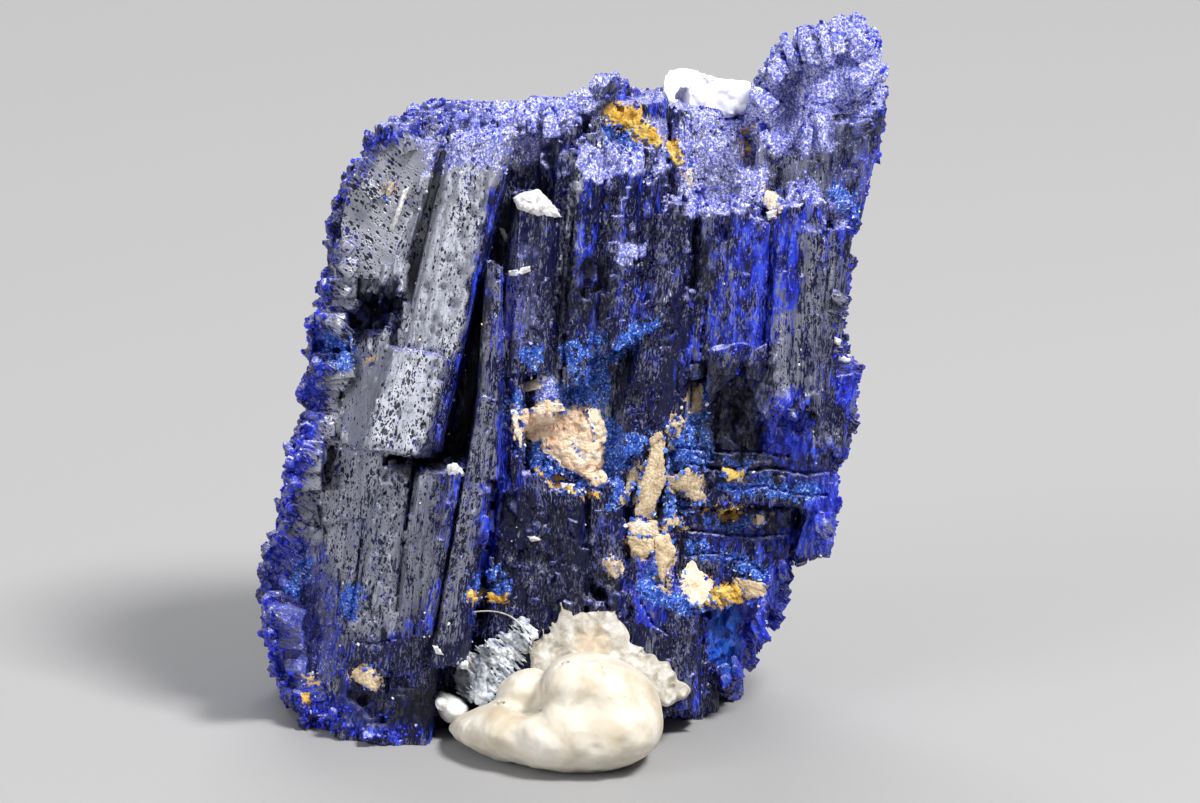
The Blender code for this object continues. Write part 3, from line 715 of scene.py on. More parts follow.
SLITS = [    # outline points, half-width, depth
    ([(664, 441), (662, 458), (664, 480), (660, 504), (655, 519)], 3.2, 12),
    ([(690, 463), (712, 468), (745, 471), (775, 468), (806, 474), (832, 470)], 2.2, 7),
    ([(672, 446), (700, 449), (728, 452), (760, 452), (790, 457)], 2.0, 6),
    ([(708, 486), (735, 489), (764, 486), (796, 494), (826, 496)], 2.0, 6),
    ([(668, 507), (700, 509), (730, 512), (765, 508), (800, 510)], 2.6, 8),
    ([(690, 530), (722, 534), (756, 537), (790, 533)], 2.0, 6),
    ([(684, 556), (712, 552), (742, 560), (764, 572)], 2.0, 5),
    ([(385, 352), (410, 347), (438, 352), (450, 360)], 1.4, 3),
    ([(504, 286), (500, 330), (497, 380), (486, 430)], 1.6, 4),
    ([(556, 470), (580, 482), (604, 492)], 2.0, 5),
    ([(510, 432), (514, 452), (530, 470), (546, 480)], 2.0, 5),
    ([(350, 640), (372, 644), (398, 638)], 1.6, 4),
    ([(300, 520), (322, 528), (344, 524)], 1.6, 4),
    ([(340, 446), (362, 450), (382, 446)], 1.8, 4),
    ([(706, 300), (704, 330), (700, 352)], 2.2, 6),
    ([(600, 592), (610, 612), (604, 640)], 2.4, 7),
    ([(640, 600), (652, 622), (676, 640)], 1.8, 5),
]
HOLLOWS = [  # u, v, half-sizes across, up and deep, lean in degrees
    (378, 306, 20, 13, 12, 28), (358, 322, 12, 8, 8, 20), (336, 352, 8, 12, 5, 0), (600, 590, 17, 20, 12, 0),
    (362, 700, 16, 14, 10, 0), (735, 408, 22, 26, 12, 0), (590, 286, 18, 24, 9, 0), (548, 154, 7, 10, 9, 0),
    (640, 408, 18, 30, 5, 12), (530, 560, 22, 20, 5, 0), (404, 690, 18, 12, 6, 0), (330, 470, 8, 16, 4, 0),
    (476, 585, 12, 8, 6, 0), (726, 236, 7, 14, 5, 0), (420, 206, 6, 18, 3, 22), (800, 420, 9, 14, 4, 0),
]


def scoop(c, r, up, deep, lean=0.0):
    """Take an ellipsoid out of the distance field."""
    across = RIGHT * math.cos(lean) + UP * math.sin(lean)
    rise = UP * math.cos(lean) - RIGHT * math.sin(lean)
    size = max(r, up, deep) + 3.0
    i0 = np.maximum(np.floor((c - size - LOW) / H).astype(int), 0)
    i1 = np.minimum(np.ceil((c + size - LOW) / H).astype(int) + 1, DIMS)
    if np.any(i1 <= i0):
        return
    x, y, z = (X[a][i0[a]:i1[a]] - c[a] for a in range(3))
    q = 0.0
    for ax, rad in ((across, r), (rise, up), (SIGHT_DIR, deep)):
        t = (ax[0] * x)[:, None, None] + (ax[1] * y)[None, :, None] + (ax[2] * z)[None, None, :]
        q = q + (t / rad) ** 2
    sd = (1.0 - np.sqrt(q)) * min(r, up, deep)
    view = S[i0[0]:i1[0], i0[1]:i1[1], i0[2]:i1[2]]
    np.maximum(view, sd.astype(np.float32), out=view)


def scoops():
    rng = np.random.RandomState(77)
    for u, v, a, b, deep, lean in HOLLOWS:
        for _ in range(9):
            uu, vv = u + a * 0.55 * rng.randn() * 0.7, v + b * 0.55 * rng.randn() * 0.7
            d = sight_depth(np.array([uu]), np.array([vv]))
            if np.isnan(d[0]):
                continue
            k = 0.35 + 0.4 * rng.rand()
            scoop(place(uu, vv, d[0]), a * k, b * k, deep * (0.3 + 0.35 * rng.rand()), math.radians(lean))
    for pts, r, deep in SLITS:
        for (u0, v0), (u1, v1) in zip(pts, pts[1:]):
            n = int(math.hypot(u1 - u0, v1 - v0) / 2.0) + 1
            t = (np.arange(n) + 0.5) / n
            u = u0 + (u1 - u0) * t + rng.randn(n) * 0.5
            v = v0 + (v1 - v0) * t + rng.randn(n) * 0.5
            d = sight_depth(u, v)
            for uu, vv, dd in zip(u, v, d):
                if not np.isnan(dd) and rng.rand() < 0.93:
                    scoop(place(uu, vv, dd), r * (0.7 + 0.6 * rng.rand()), r * (0.7 + 0.6 * rng.rand()), deep)


PITS = {"block": (10.0, 3.0), "left": (11.0, 2.4), "blade": (9.0, 2.4)}
CHILDREN = []


def inside_by(poly, u, v):
    """How far inside a drawn outline each point lies (negative outside)."""
    p = np.array(poly, float)
    q = np.roll(p, -1, axis=0)
    best = np.full(len(u), 1e9)
    odd = np.zeros(len(u), bool)
    for (x0, y0), (x1, y1) in zip(p, q):
        dx, dy = x1 - x0, y1 - y0
        t = np.clip(((u - x0) * dx + (v - y0) * dy) / max(dx * dx + dy * dy, 1e-9), 0, 1)
        best = np.minimum(best, (u - x0 - t * dx) ** 2 + (v - y0 - t * dy) ** 2)
        if y0 != y1:
            cross = ((y0 > v) != (y1 > v)) & (u < (x1 - x0) * (v - y0) / (y1 - y0) + x0)
            odd ^= cross
    d = np.sqrt(best)
    return np.where(odd, d, -d)


def sight_depth(u, v, lo=-150.0, hi=300.0, step=1.2):
    """Sheet depth at which the line of sight through (u, v) first meets the cluster (nan if it misses)."""
    u, v = np.asarray(u, float), np.asarray(v, float)
    out = np.full(len(u), np.nan)
    for d in np.arange(lo, hi, step):
        todo = np.flatnonzero(np.isnan(out))
        if not len(todo):
            break
        dd = d - FORWARD * (GROUND_V - v[todo])
        grow = 1.0 + dd * UNIT / SIGHT
        p = MIDDLE + SIGHT_DIR * dd[:, None] + (RIGHT * (u[todo] - SHEET_U)[:, None]
                                                 + UP * (SHEET_V - v[todo])[:, None]) * grow[:, None]
        hit = sample(p) < 0
        out[todo[hit]] = d
    return out


WHITE_IDS = []


def near_id(c):
    i = np.clip(np.round((c + SIGHT_DIR * 3 - LOW) / H).astype(int), 0, DIMS - 1)
    return max(int(K[tuple(i)]), 0)


def lumps():
    """Rounded knobs crowded along the left rim."""
    rng = np.random.RandomState(8)
    q = np.array(LEFT_EDGE, float)
    for p0, p1 in zip(q, q[1:]):
        n = max(1, int(round(np.hypot(*(p1 - p0)) / 7.0)))
        for i in range(n):
            u, v = p0 + (p1 - p0) * (i + rng.rand()) / n
            if v < 300 and rng.rand() < 0.5:
                continue
            d = sight_depth(np.array([u + 10.0]), np.array([v - 2.0]))[0]
            if np.isnan(d):
                continue
            back = 36.0 + 12.0 * rng.rand()
            pts = [place(u + a + 1.5 * rng.randn(), v + b + 1.5 * rng.randn(), d + c + 1.5 * rng.randn())
                   for a in (3.5, 34.0) for b in (-9.0, 9.0) for c in (4.0, back)]
            stamp(Convex(pts), near_id(place(u + 14.0, v, d + 8.0)))
            for off in (3.0, 18.0 + 8 * rng.rand(), 34.0 + 8 * rng.rand()):
                rad = np.array([5.0 + 4.5 * rng.rand(), 5.0 + 5.0 * rng.rand(), 8.0 + 8.0 * rng.rand()])
                c = place(u + 3.5 + 3.0 * rng.randn(), v + 3.0 * rng.randn(), d + off)
                w = rng.randn(15, 3)
                w /= np.linalg.norm(w, axis=1)[:, None]
                w *= rad
                try:
                    ch = Convex(c + w[:, :1] * RIGHT + w[:, 1:2] * UP + w[:, 2:] * SIGHT_DIR)
                except Exception:
                    continue
                if len(ch.n) > 3:
                    stamp(ch, near_id(place(u + 12.0, v, d + off)))


def far_depth(u, v):
    """Sheet depth at which a line of sight through (u, v) leaves the cluster at its back."""
    out = np.full(len(u), np.nan)
    for d in np.arange(300.0, -150.0, -1.5):
        todo = np.flatnonzero(np.isnan(out))
        if not len(todo):
            break
        dd = d - FORWARD * (GROUND_V - v[todo])
        grow = 1.0 + dd * UNIT / SIGHT
        p = MIDDLE + SIGHT_DIR * dd[:, None] + (RIGHT * (u[todo] - SHEET_U)[:, None]
                                                 + UP * (SHEET_V - v[todo])[:, None]) * grow[:, None]
        out[todo[sample(p) < 0]] = d
    return out


def back_relief():
    """Plates, grooves and hollows on the side away from the camera, which the photo does not show."""
    rng = np.random.RandomState(9)
    gu, gv = np.meshgrid(np.arange(240.0, 916.0, 6.0), np.arange(-12.0, 760.0, 6.0), indexing="ij")
    seen = ~np.isnan(sight_depth(gu.ravel(), gv.ravel(), step=2.4)).reshape(gu.shape)
    core = seen.copy()
    core[1:-1, 1:-1] &= seen[2:, 1:-1] & seen[:-2, 1:-1] & seen[1:-1, 2:] & seen[1:-1, :-2]

    def hidden(pts):
        """Whether points lie behind the front outline, clear of its edge, and inside the part's depth."""
        q = np.array(pts)
        a, b, _d = unplace(q)
        i = np.clip(np.round((a - 240.0) / 6.0).astype(int), 0, core.shape[0] - 1)
        j = np.clip(np.round((b + 12.0) / 6.0).astype(int), 0, core.shape[1] - 1)
        return bool(np.all(core[i, j])) and q[:, 1].max() - ORIGIN[1] < 231.0 and q[:, 2].max() < 690.0

    for count, (w0, w1), (h0, h1), high in ((230, (12, 34), (50, 200), 4.4), (380, (5, 14), (10, 46), 3.4)):
        u = 285 + 570 * rng.rand(count)
        v = 120 + 600 * rng.rand(count)
        d = far_depth(u, v)
        for uu, vv, dd in zip(u, v, d):
            if np.isnan(dd):
                continue
            c = place(uu, vv, dd)
            if c[2] < 24:
                continue
            lean = math.radians(9 + 5 * rng.randn())
            a = RIGHT * math.sin(lean) + UP * math.cos(lean) + SIGHT_DIR * 0.06 * rng.randn()
            a /= np.linalg.norm(a)
            o = SIGHT_DIR + RIGHT * rng.randn() * 0.10 + UP * rng.randn() * 0.05
            o -= a * (o @ a)
            o /= np.linalg.norm(o)
            w = np.cross(o, a)
            wid, hgt, st = w0 + (w1 - w0) * rng.rand() ** 2, h0 + (h1 - h0) * rng.rand() ** 2, high * (0.25 + 0.75 * rng.rand())
            pts = []
            for e in (-0.5, 0.5):
                cut = (rng.rand() - 0.5) * wid * 0.8
                for q, oo in ((-0.5, -8.0), (0.5, -8.0), (0.5, st * 0.3), (0.26, st), (-0.26, st), (-0.5, st * 0.35)):
                    pts.append(c + a * (hgt * e + cut * q * 2) + w * wid * q + o * oo)
            if min(p[2] for p in pts) < 8 or not hidden(pts):
                continue
            ch = Convex(pts)
            if len(ch.n) > 3:
                stamp(ch, near_id(c - SIGHT_DIR * 8))
    for _ in range(24):
        u0, v0 = 300 + 540 * rng.rand(), 160 + 420 * rng.rand()
        ln, r, deep = 50 + 150 * rng.rand(), 2.2 + 2.6 * rng.rand(), 7 + 8 * rng.rand()
        n = int(ln / 2.4)
        t = np.arange(n) / n
        u, v = u0 - 0.16 * ln * t + rng.randn(n) * 0.6, v0 + ln * t
        d = far_depth(u, v)
        for uu, vv, dd in zip(u, v, d):
            if not np.isnan(dd):
                scoop(place(uu, vv, dd), r * (0.7 + 0.6 * rng.rand()), r * (0.8 + 0.8 * rng.rand()), deep)
    for _ in range(26):
        u0, v0, size = 300 + 540 * rng.rand(), 150 + 540 * rng.rand(), 6 + 13 * rng.rand() ** 2
        u, v = u0 + size * 0.5 * rng.randn(5), v0 + size * 0.8 * rng.randn(5)
        d = far_depth(u, v)
        for uu, vv, dd in zip(u, v, d):
            if not np.isnan(dd):
                k = 0.4 + 0.4 * rng.rand()
                scoop(place(uu, vv, dd), size * k, size * 1.3 * k, size * 0.6)


def skin_over(outline):
    """One broad face laid across neighbouring blades, closing the gaps between them."""
    q = np.array(outline, float)
    u, v = [a.ravel() for a in np.meshgrid(np.arange(q[:, 0].min(), q[:, 0].max(), 4.0),
                                           np.arange(q[:, 1].min(), q[:, 1].max(), 4.0))]
    ok = inside_by(outline, u, v) > 1.0
    u, v = u[ok], v[ok]
    d = sight_depth(u, v)
    ok = ~np.isnan(d)
    u, v, d = u[ok], v[ok], d[ok]
    mu, mv = u.mean(), v.mean()
    A = np.stack((np.ones(len(u)), u - mu, v - mv), 1)
    sel = np.ones(len(u), bool)
    for _ in range(4):
        coef = np.linalg.lstsq(A[sel], d[sel], rcond=None)[0]
        res = d - A @ coef
        sel = res < np.percentile(res, 70)
    coef[0] += np.percentile(d - A @ coef, 25)
    front = coef[0] + coef[1] * (q[:, 0] - mu) + coef[2] * (q[:, 1] - mv)
    pts = [place(a, b, c) for (a, b), c in zip(q, front)] + [place(a, b, c + 26.0) for (a, b), c in zip(q, front)]
    stamp(Convex(pts), near_id(place(mu, mv, coef[0])))


def anchored():
    """Keep only what hangs together with the heart of the cluster."""
    inside = S < 0
    held = np.zeros(S.shape, bool)
    i = np.clip(np.round((np.array([0.0, 60.0, 250.0]) - LOW) / H).astype(int), 0, DIMS - 1)
    held[i[0] - 3:i[0] + 4, i[1] - 3:i[1] + 4, i[2] - 3:i[2] + 4] = inside[i[0] - 3:i[0] + 4, i[1] - 3:i[1] + 4,
                                                                          i[2] - 3:i[2] + 4]
    before = -1
    for _ in range(14):
        for ax in (2, 1, 0):
            a, b = np.moveaxis(held, ax, 0), np.moveaxis(inside, ax, 0)
            for j in range(1, len(a)):
                a[j] |= a[j - 1] & b[j]
            for j in range(len(a) - 2, -1, -1):
                a[j] |= a[j + 1] & b[j]
        now = int(held.sum())
        if now == before:
            break
        before = now
    if now < 0.9 * int(inside.sum()):
        return
    S[inside & ~held] = 1.5


def fill():
    first = len(LEFT_FACE) + len(CENTRE) + len(CREST) + len(RIGHT_SIDE) + len(SPUR) + len(BACK) + len(BODY)
    WHITE_IDS.extend(range(first, first + len(WHITE)))
    for k, cx in enumerate(CRYSTALS):
        if k not in WHITE_IDS:
            stamp(cx, k, PITS.get(cx.style))
    rng = np.random.RandomState(5)
    skipped = 0
    for k, cx in enumerate(CRYSTALS):
        if cx.style == "nub":
            continue
        for pts, a, b, way in children(cx, rng):
            tries = np.array([a, a * 0.75 + b * 0.25, (a + b) / 2, a * 0.25 + b * 0.75, b])
            if np.all(sample(tries) < -6.5):
                skipped += 1
                continue
            try:
                ch = Convex(pts)
            except Exception:
                continue
            if len(ch.n) < 4:
                continue
            CHILDREN.append(ch)
            stamp(ch, k)
    for count, sizes, layers, seed in RUBBLE:
        rng = np.random.RandomState(seed)
        poly = np.array(layers, float)
        u = poly[:, 0].min() + np.ptp(poly[:, 0]) * rng.rand(count)
        v = poly[:, 1].min() + np.ptp(poly[:, 1]) * rng.rand(count)
        ok = inside_by(layers, u, v) > 0
        u, v = u[ok], v[ok]
        d = sight_depth(u, v)
        for uu, vv, dd in zip(u, v, d):
            if np.isnan(dd):
                continue
            block(uu, vv, dd, sizes, rng)
    rng = np.random.RandomState(6)
    for k, cx in enumerate(CRYSTALS):
        if cx.style != "nub":
            continue
        out = cx.pts[-4:].mean(0) - cx.pts[:4].mean(0)
        for _ in range(5):
            dd = (12 + 30 * rng.rand()) * (1 if rng.rand() < 0.5 else -1)
            size = 0.55 + 0.45 * rng.rand()
            mid = cx.pts.mean(0)
            q = mid + (cx.pts - mid) * size + SIGHT_DIR * dd - out * (0.10 + 0.35 * rng.rand()) + UP * rng.randn() * 6.0
            try:
                ch = Convex(q)
            except Exception:
                continue
            if len(ch.n) > 3:
                stamp(ch, k)
    lumps()
    skin_over([(350, 178), (372, 152), (400, 140), (432, 138), (430, 176), (416, 232), (400, 276), (362, 280),
               (344, 262), (341, 226)])
    scoops()
    back_relief()
    anchored()
    np.maximum(S, (0.0 - X[2]).astype(np.float32)[None, None, :], out=S)


def surface(S, low, h=None):
    """Closed quad surface of the zero level of S (surface nets)."""
    inside = S < 0
    ny, nz = S.shape[1], S.shape[2]
    cells, points, quads = [], [], []
    for ax in range(3):
        lo = [slice(None)] * 3
        hi = [slice(None)] * 3
        lo[ax], hi[ax] = slice(0, -1), slice(1, None)
        A, B = inside[tuple(lo)], inside[tuple(hi)]
        base = np.stack(np.nonzero(A != B), 1)
        step = np.zeros(3, int)
        step[ax] = 1
        o1, o2 = (ax + 1) % 3, (ax + 2) % 3
        s0 = S[base[:, 0], base[:, 1], base[:, 2]]
        nxt = base + step
        s1 = S[nxt[:, 0], nxt[:, 1], nxt[:, 2]]
        p = base.astype(np.float32)
        p[:, ax] += s0 / (s0 - s1)
        four = []
        for da, db in ((0, 0), (-1, 0), (-1, -1), (0, -1)):
            q = base.copy()
            q[:, o1] += da
            q[:, o2] += db
            four.append((q[:, 0] * ny + q[:, 1]) * nz + q[:, 2])
        four = np.stack(four, 1)
        out = s0 > 0
        four[out] = four[out][:, ::-1]
        cells.append(four)
        points.append(p)
    cells = np.concatenate(cells)
    points = np.concatenate(points)
    ids, inv = np.unique(cells.ravel(), return_inverse=True)
    inv = inv.reshape(-1)
    count = np.bincount(inv, minlength=len(ids)).astype(np.float32)
    rep = np.repeat(points, 4, axis=0)
    verts = np.stack([np.bincount(inv, weights=rep[:, a], minlength=len(ids)) / count for a in range(3)], 1)
    return (low + (h or H) * verts), inv.reshape(-1, 4)


def mesh_from(name, verts, faces):
    me = bpy.data.meshes.new(name)
    n = faces.shape[1]
    me.vertices.add(len(verts))
    me.vertices.foreach_set("co", np.ascontiguousarray(verts, np.float32).ravel())
    me.loops.add(faces.size)
    me.loops.foreach_set("vertex_index", np.ascontiguousarray(faces, np.int32).ravel())
    me.polygons.add(len(faces))
    me.polygons.foreach_set("loop_start", np.arange(0, faces.size, n, dtype=np.int32))
    me.update(calc_edges=True)
    return me


def add_object(name, me):
    ob = bpy.data.objects.new(name, me)
    bpy.context.scene.collection.objects.link(ob)
    return ob


def vertex_normals(verts, quads):
    a, b, c, e = (verts[quads[:, i]] for i in range(4))
    fn = np.cross(c - a, e - b)
    out = np.zeros_like(verts)
    for i in range(4):
        for ax in range(3):
            out[:, ax] += np.bincount(quads[:, i], weights=fn[:, ax], minlength=len(verts))
    ln = np.linalg.norm(out, axis=1)
    return out / np.maximum(ln, 1e-9)[:, None]


def read_verts(me):
    co = np.empty(len(me.vertices) * 3, np.float32)
    me.vertices.foreach_get("co", co)
    return co.reshape(-1, 3).astype(float)


def decimated(ob, target):
    n = sum(len(p.vertices) - 2 for p in ob.data.polygons) if len(ob.data.polygons) < 1000 else \
        len(ob.data.polygons) * 2
    if n > target:
        mod = ob.modifiers.new("thin", "DECIMATE")
        mod.ratio = target / n
        mod.use_collapse_triangulate = True
        deps = bpy.context.evaluated_depsgraph_get()
        me = bpy.data.meshes.new_from_object(ob.evaluated_get(deps))
        ob.modifiers.remove(mod)
        old = ob.data
        ob.data = me
        bpy.data.meshes.remove(old)
    return ob


# ------------------------------------------------------------------ regions on the front drawing
def paint(value, layers, u, v, sel):
    """Lay soft regions one over the other on a field; each is (value, softness, outline)."""
    for level, soft, poly in layers:
        p = np.array(poly, float)
        lo, hi = p.min(0) - soft - 1, p.max(0) + soft + 1
        k = np.flatnonzero(sel & (u > lo[0]) & (u < hi[0]) & (v > lo[1]) & (v < hi[1]))
        if len(k):
            f = np.clip(inside_by(poly, u[k], v[k]) / (2 * soft) + 0.5, 0, 1)
            f = f * f * (3 - 2 * f)
            value[k] += (level - value[k]) * f
    return value


LEFT_EDGE = [(480, 98), (435, 106), (400, 122), (380, 130), (355, 160), (343, 185), (331, 225), (325, 262),
             (320, 300), (310, 345), (318, 372), (299, 392), (312, 410), (290, 450), (286, 490), (285, 520),
             (268, 550), (262, 590), (268, 632), (275, 675), (306, 712), (360, 733), (400, 742)]

# painted reflection: levels of grey sheen, lightening broad faces as reflected light would
PAINTED_SHEEN = [
    (0.80, 14, [(345, 190), (400, 140), (520, 120), (520, 170), (482, 194), (470, 280), (449, 369), (429, 441),
                (380, 470), (440, 480), (430, 640), (330, 700), (300, 620), (290, 520), (320, 440), (330, 330),
                (335, 230)]),
    (0.92, 6, [(378, 150), (425, 140), (440, 165), (418, 195), (400, 245), (385, 275), (352, 280), (345, 220)]),
    (0.95, 4, [(430, 160), (482, 165), (482, 194), (474, 250), (468, 290), (464, 320), (455, 352), (400, 352),
               (392, 330), (404, 300), (402, 265), (412, 215)]),
    (0.86, 3, [(385, 356), (452, 360), (449, 369), (438, 410), (428, 448), (400, 456), (362, 442), (372, 405)]),
    (1.00, 5, [(340, 352), (380, 352), (374, 385), (364, 440), (338, 445), (333, 400), (338, 375)]),
    (0.16, 6, [(345, 330), (360, 300), (400, 280), (403, 325), (385, 335), (340, 335)]),
    (0.66, 8, [(340, 500), (380, 475), (425, 480), (440, 500), (425, 600), (400, 640), (365, 650), (335, 600)]),
    (0.42, 10, [(262, 530), (320, 540), (345, 600), (340, 680), (300, 700), (262, 620)]),
    (0.24, 12, [(345, 640), (380, 640), (430, 600), (440, 740), (330, 730)]),
    (0.62, 3, [(496, 215), (512, 215), (505, 300), (500, 392), (498, 474), (478, 560), (467, 645), (434, 645),
               (449, 560), (468, 474), (482, 392), (485, 290)]),
    (0.30, 12, [(530, 150), (690, 150), (705, 300), (620, 330), (520, 320), (540, 200)]),
    (0.66, 3, [(570, 150), (583, 165), (578, 200), (566, 262), (558, 262), (562, 220)]),
    (0.14, 10, [(555, 252), (620, 252), (620, 325), (535, 325)]),
    (0.20, 14, [(490, 490), (620, 490), (640, 700), (450, 700)]),
    (0.30, 10, [(706, 205), (800, 210), (795, 350), (700, 350)]),
    (0.62, 5, [(800, 235), (838, 232), (836, 338), (802, 340)]),
    (0.12, 8, [(660, 440), (830, 445), (828, 505), (800, 550), (690, 560), (665, 520)]),
    (0.12, 8, [(495, 495), (600, 500), (612, 600), (560, 620), (500, 600)]),
    (0.66, 5, [(778, 312), (803, 318), (797, 392), (768, 388)]),
    (0.50, 6, [(803, 340), (835, 345), (838, 400), (800, 400)]),
    (0.64, 6, [(770, 152), (872, 150), (862, 200), (775, 200)]),
    (0.42, 8, [(828, 104), (886, 104), (880, 190), (830, 190)]),
    (0.05, 8, [(619, 340), (690, 330), (692, 400), (660, 440), (630, 440)]),
    (0.74, 8, [(690, 112), (768, 118), (770, 205), (700, 205)]),
    (0.30, 8, [(640, 600), (700, 600), (700, 700), (640, 700)]),
]
BLUE = [
    (0.62, 12, LEFT_EDGE[:13] + [(322, 460), (345, 400), (335, 350), (352, 290), (355, 230), (375, 180),
                                 (420, 140), (480, 122)]),
    (1.00, 7, LEFT_EDGE[10:] + [(380, 728), (330, 690), (308, 660), (300, 600), (305, 545), (312, 500), (322, 440),
                                (330, 400)]),
    (0.85, 9, LEFT_EDGE[12:] + [(420, 722), (350, 700), (345, 620), (330, 560), (312, 520), (318, 460)]),
    (0.50, 9, [(706, 215), (800, 215), (795, 345), (700, 345)]),
    (0.66, 6, [(752, 225), (800, 215), (795, 330), (756, 345)]),
    (0.85, 7, [(765, 390), (802, 385), (815, 430), (800, 455), (765, 455)]),
    (0.80, 6, [(832, 355), (862, 355), (862, 412), (835, 410)]),
    (0.55, 6, [(835, 150), (890, 150), (880, 210), (840, 215)]),
    (1.00, 4, [(815, 478), (842, 478), (840, 555), (800, 558), (808, 520)]),
    (0.46, 8, [(690, 512), (815, 508), (800, 560), (780, 600), (740, 590), (690, 545)]),
    (0.95, 5, [(738, 590), (795, 555), (775, 700), (735, 710)]),
    (1.40, 3, [(712, 604), (742, 600), (742, 640), (737, 676), (718, 684), (710, 650)]),
    (0.85, 5, [(640, 560), (660, 575), (665, 625), (640, 625), (632, 590)]),
    (0.66, 3, [(500, 420), (513, 420), (506, 480), (497, 560), (480, 600), (480, 560), (494, 480)]),
    (0.75, 4, [(500, 275), (522, 275), (520, 345), (500, 345)]),
    (0.40, 4, [(482, 194), (500, 186), (486, 280), (478, 330), (462, 380), (440, 450), (428, 447), (449, 369),
               (464, 320), (471, 280)]),
    (0.10, 5, [(528, 180), (572, 176), (574, 330), (524, 334)]),
    (0.55, 8, [(600, 72), (650, 72), (680, 110), (640, 118), (610, 100)]),
    (0.70, 10, [(745, 60), (800, 15), (890, 5), (892, 80), (830, 75), (760, 90)]),
    (0.55, 6, [(440, 480), (450, 485), (440, 560), (425, 640), (415, 640)]),
]
# painted shade: hollows, grooves and recesses, darkened toward black
PAINTED_SHADE = [
    (0.92, 4, [(518, 182), (537, 165), (522, 200), (502, 250), (489, 290), (484, 380), (467, 465), (447, 465),
               (462, 400), (482, 290), (500, 215)]),
    (0.80, 6, [(345, 325), (362, 295), (400, 280), (403, 305), (385, 330), (350, 335)]),
    (0.85, 4, [(385, 458), (440, 452), (442, 480), (395, 480)]),
    (0.60, 8, [(560, 258), (615, 258), (618, 320), (545, 318)]),
    (0.65, 7, [(690, 365), (770, 365), (766, 450), (700, 450)]),
    (1.00, 2, [(656, 452), (667, 446), (668, 500), (658, 521), (650, 517)]),
    (0.80, 7, [(335, 680), (380, 692), (440, 690), (440, 728), (340, 728)]),
    (0.60, 6, [(580, 572), (618, 572), (618, 615), (582, 620)]),
    (0.85, 3, [(700, 240), (711, 236), (706, 300), (697, 302)]),
    (0.55, 5, [(690, 512), (800, 506), (795, 530), (700, 536)]),
    (0.50, 8, [(705, 445), (826, 452), (826, 488), (705, 486)]),
    (0.30, 10, [(500, 500), (600, 500), (610, 610), (560, 620), (505, 600)]),
    (0.60, 4, [(545, 143), (560, 143), (556, 166), (545, 166)]),
    (0.75, 3, [(670, 202), (690, 202), (690, 220), (672, 222)]),
    (0.55, 5, [(595, 85), (618, 83), (612, 112), (596, 118)]),
]
# painted highlights: where white sparkle is laid on tops and crests
PAINTED_SPARKLE = [
    (0.84, 10, [(400, 112), (480, 98), (600, 75), (606, 120), (560, 135), (545, 158), (500, 172), (430, 172),
                (405, 142)]),
    (0.80, 8, [(640, 118), (700, 108), (760, 120), (772, 205), (740, 215), (700, 200), (660, 170)]),
    (0.85, 4, [(430, 158), (458, 158), (452, 172), (430, 174)]),
    (1.00, 8, [(740, 100), (800, 20), (890, 8), (892, 100), (835, 107), (830, 150), (770, 150)]),
    (0.95, 6, [(752, 100), (835, 90), (828, 148), (768, 148)]),
    (0.50, 8, [(770, 150), (872, 104), (872, 200), (775, 200)]),
    (0.95, 4, [(800, 91), (830, 79), (886, 87), (862, 103), (835, 107), (805, 103)]),
    (0.90, 3, [(575, 143), (645, 146), (645, 172), (600, 178), (576, 172)]),
    (1.00, 3, [(678, 186), (690, 178), (720, 195), (716, 214), (692, 220), (688, 205)]),
    (0.85, 3, [(620, 244), (645, 243), (645, 261), (622, 262)]),
    (0.85, 4, [(818, 204), (852, 204), (852, 224), (820, 224)]),
    (0.98, 3, [(774, 188), (800, 182), (824, 188), (822, 200), (778, 206)]),
    (0.95, 3, [(738, 157), (769, 162), (768, 172), (738, 168)]),
    (0.75, 4, [(700, 168), (745, 178), (768, 205), (740, 200), (700, 186)]),
    (0.42, 8, [(498, 240), (540, 240), (542, 345), (498, 345)]),
    (0.55, 5, [(550, 172), (575, 172), (572, 184), (550, 182)]),
    (0.50, 5, [(800, 222), (822, 222), (822, 236), (800, 236)]),
    (0.60, 5, [(835, 352), (852, 354), (852, 364), (835, 364)]),
    (0.35, 12, LEFT_EDGE[:7] + [(350, 260), (370, 190), (420, 140), (480, 120)]),
]
# painted highlights: the brightest sparkle, on the spur top and a few small spots
PAINTED_HIGHLIGHT = [
    (0.70, 8, [(752, 92), (800, 20), (888, 10), (890, 100), (835, 107), (830, 150), (768, 150)]),
    (0.92, 4, [(800, 91), (830, 79), (886, 87), (862, 103), (835, 107), (805, 103)]),
    (0.36, 8, [(262, 560), (320, 545), (342, 600), (330, 680), (290, 690)]),
    (0.80, 4, [(520, 386), (534, 378), (556, 380), (562, 400), (540, 402), (522, 402)]),
]
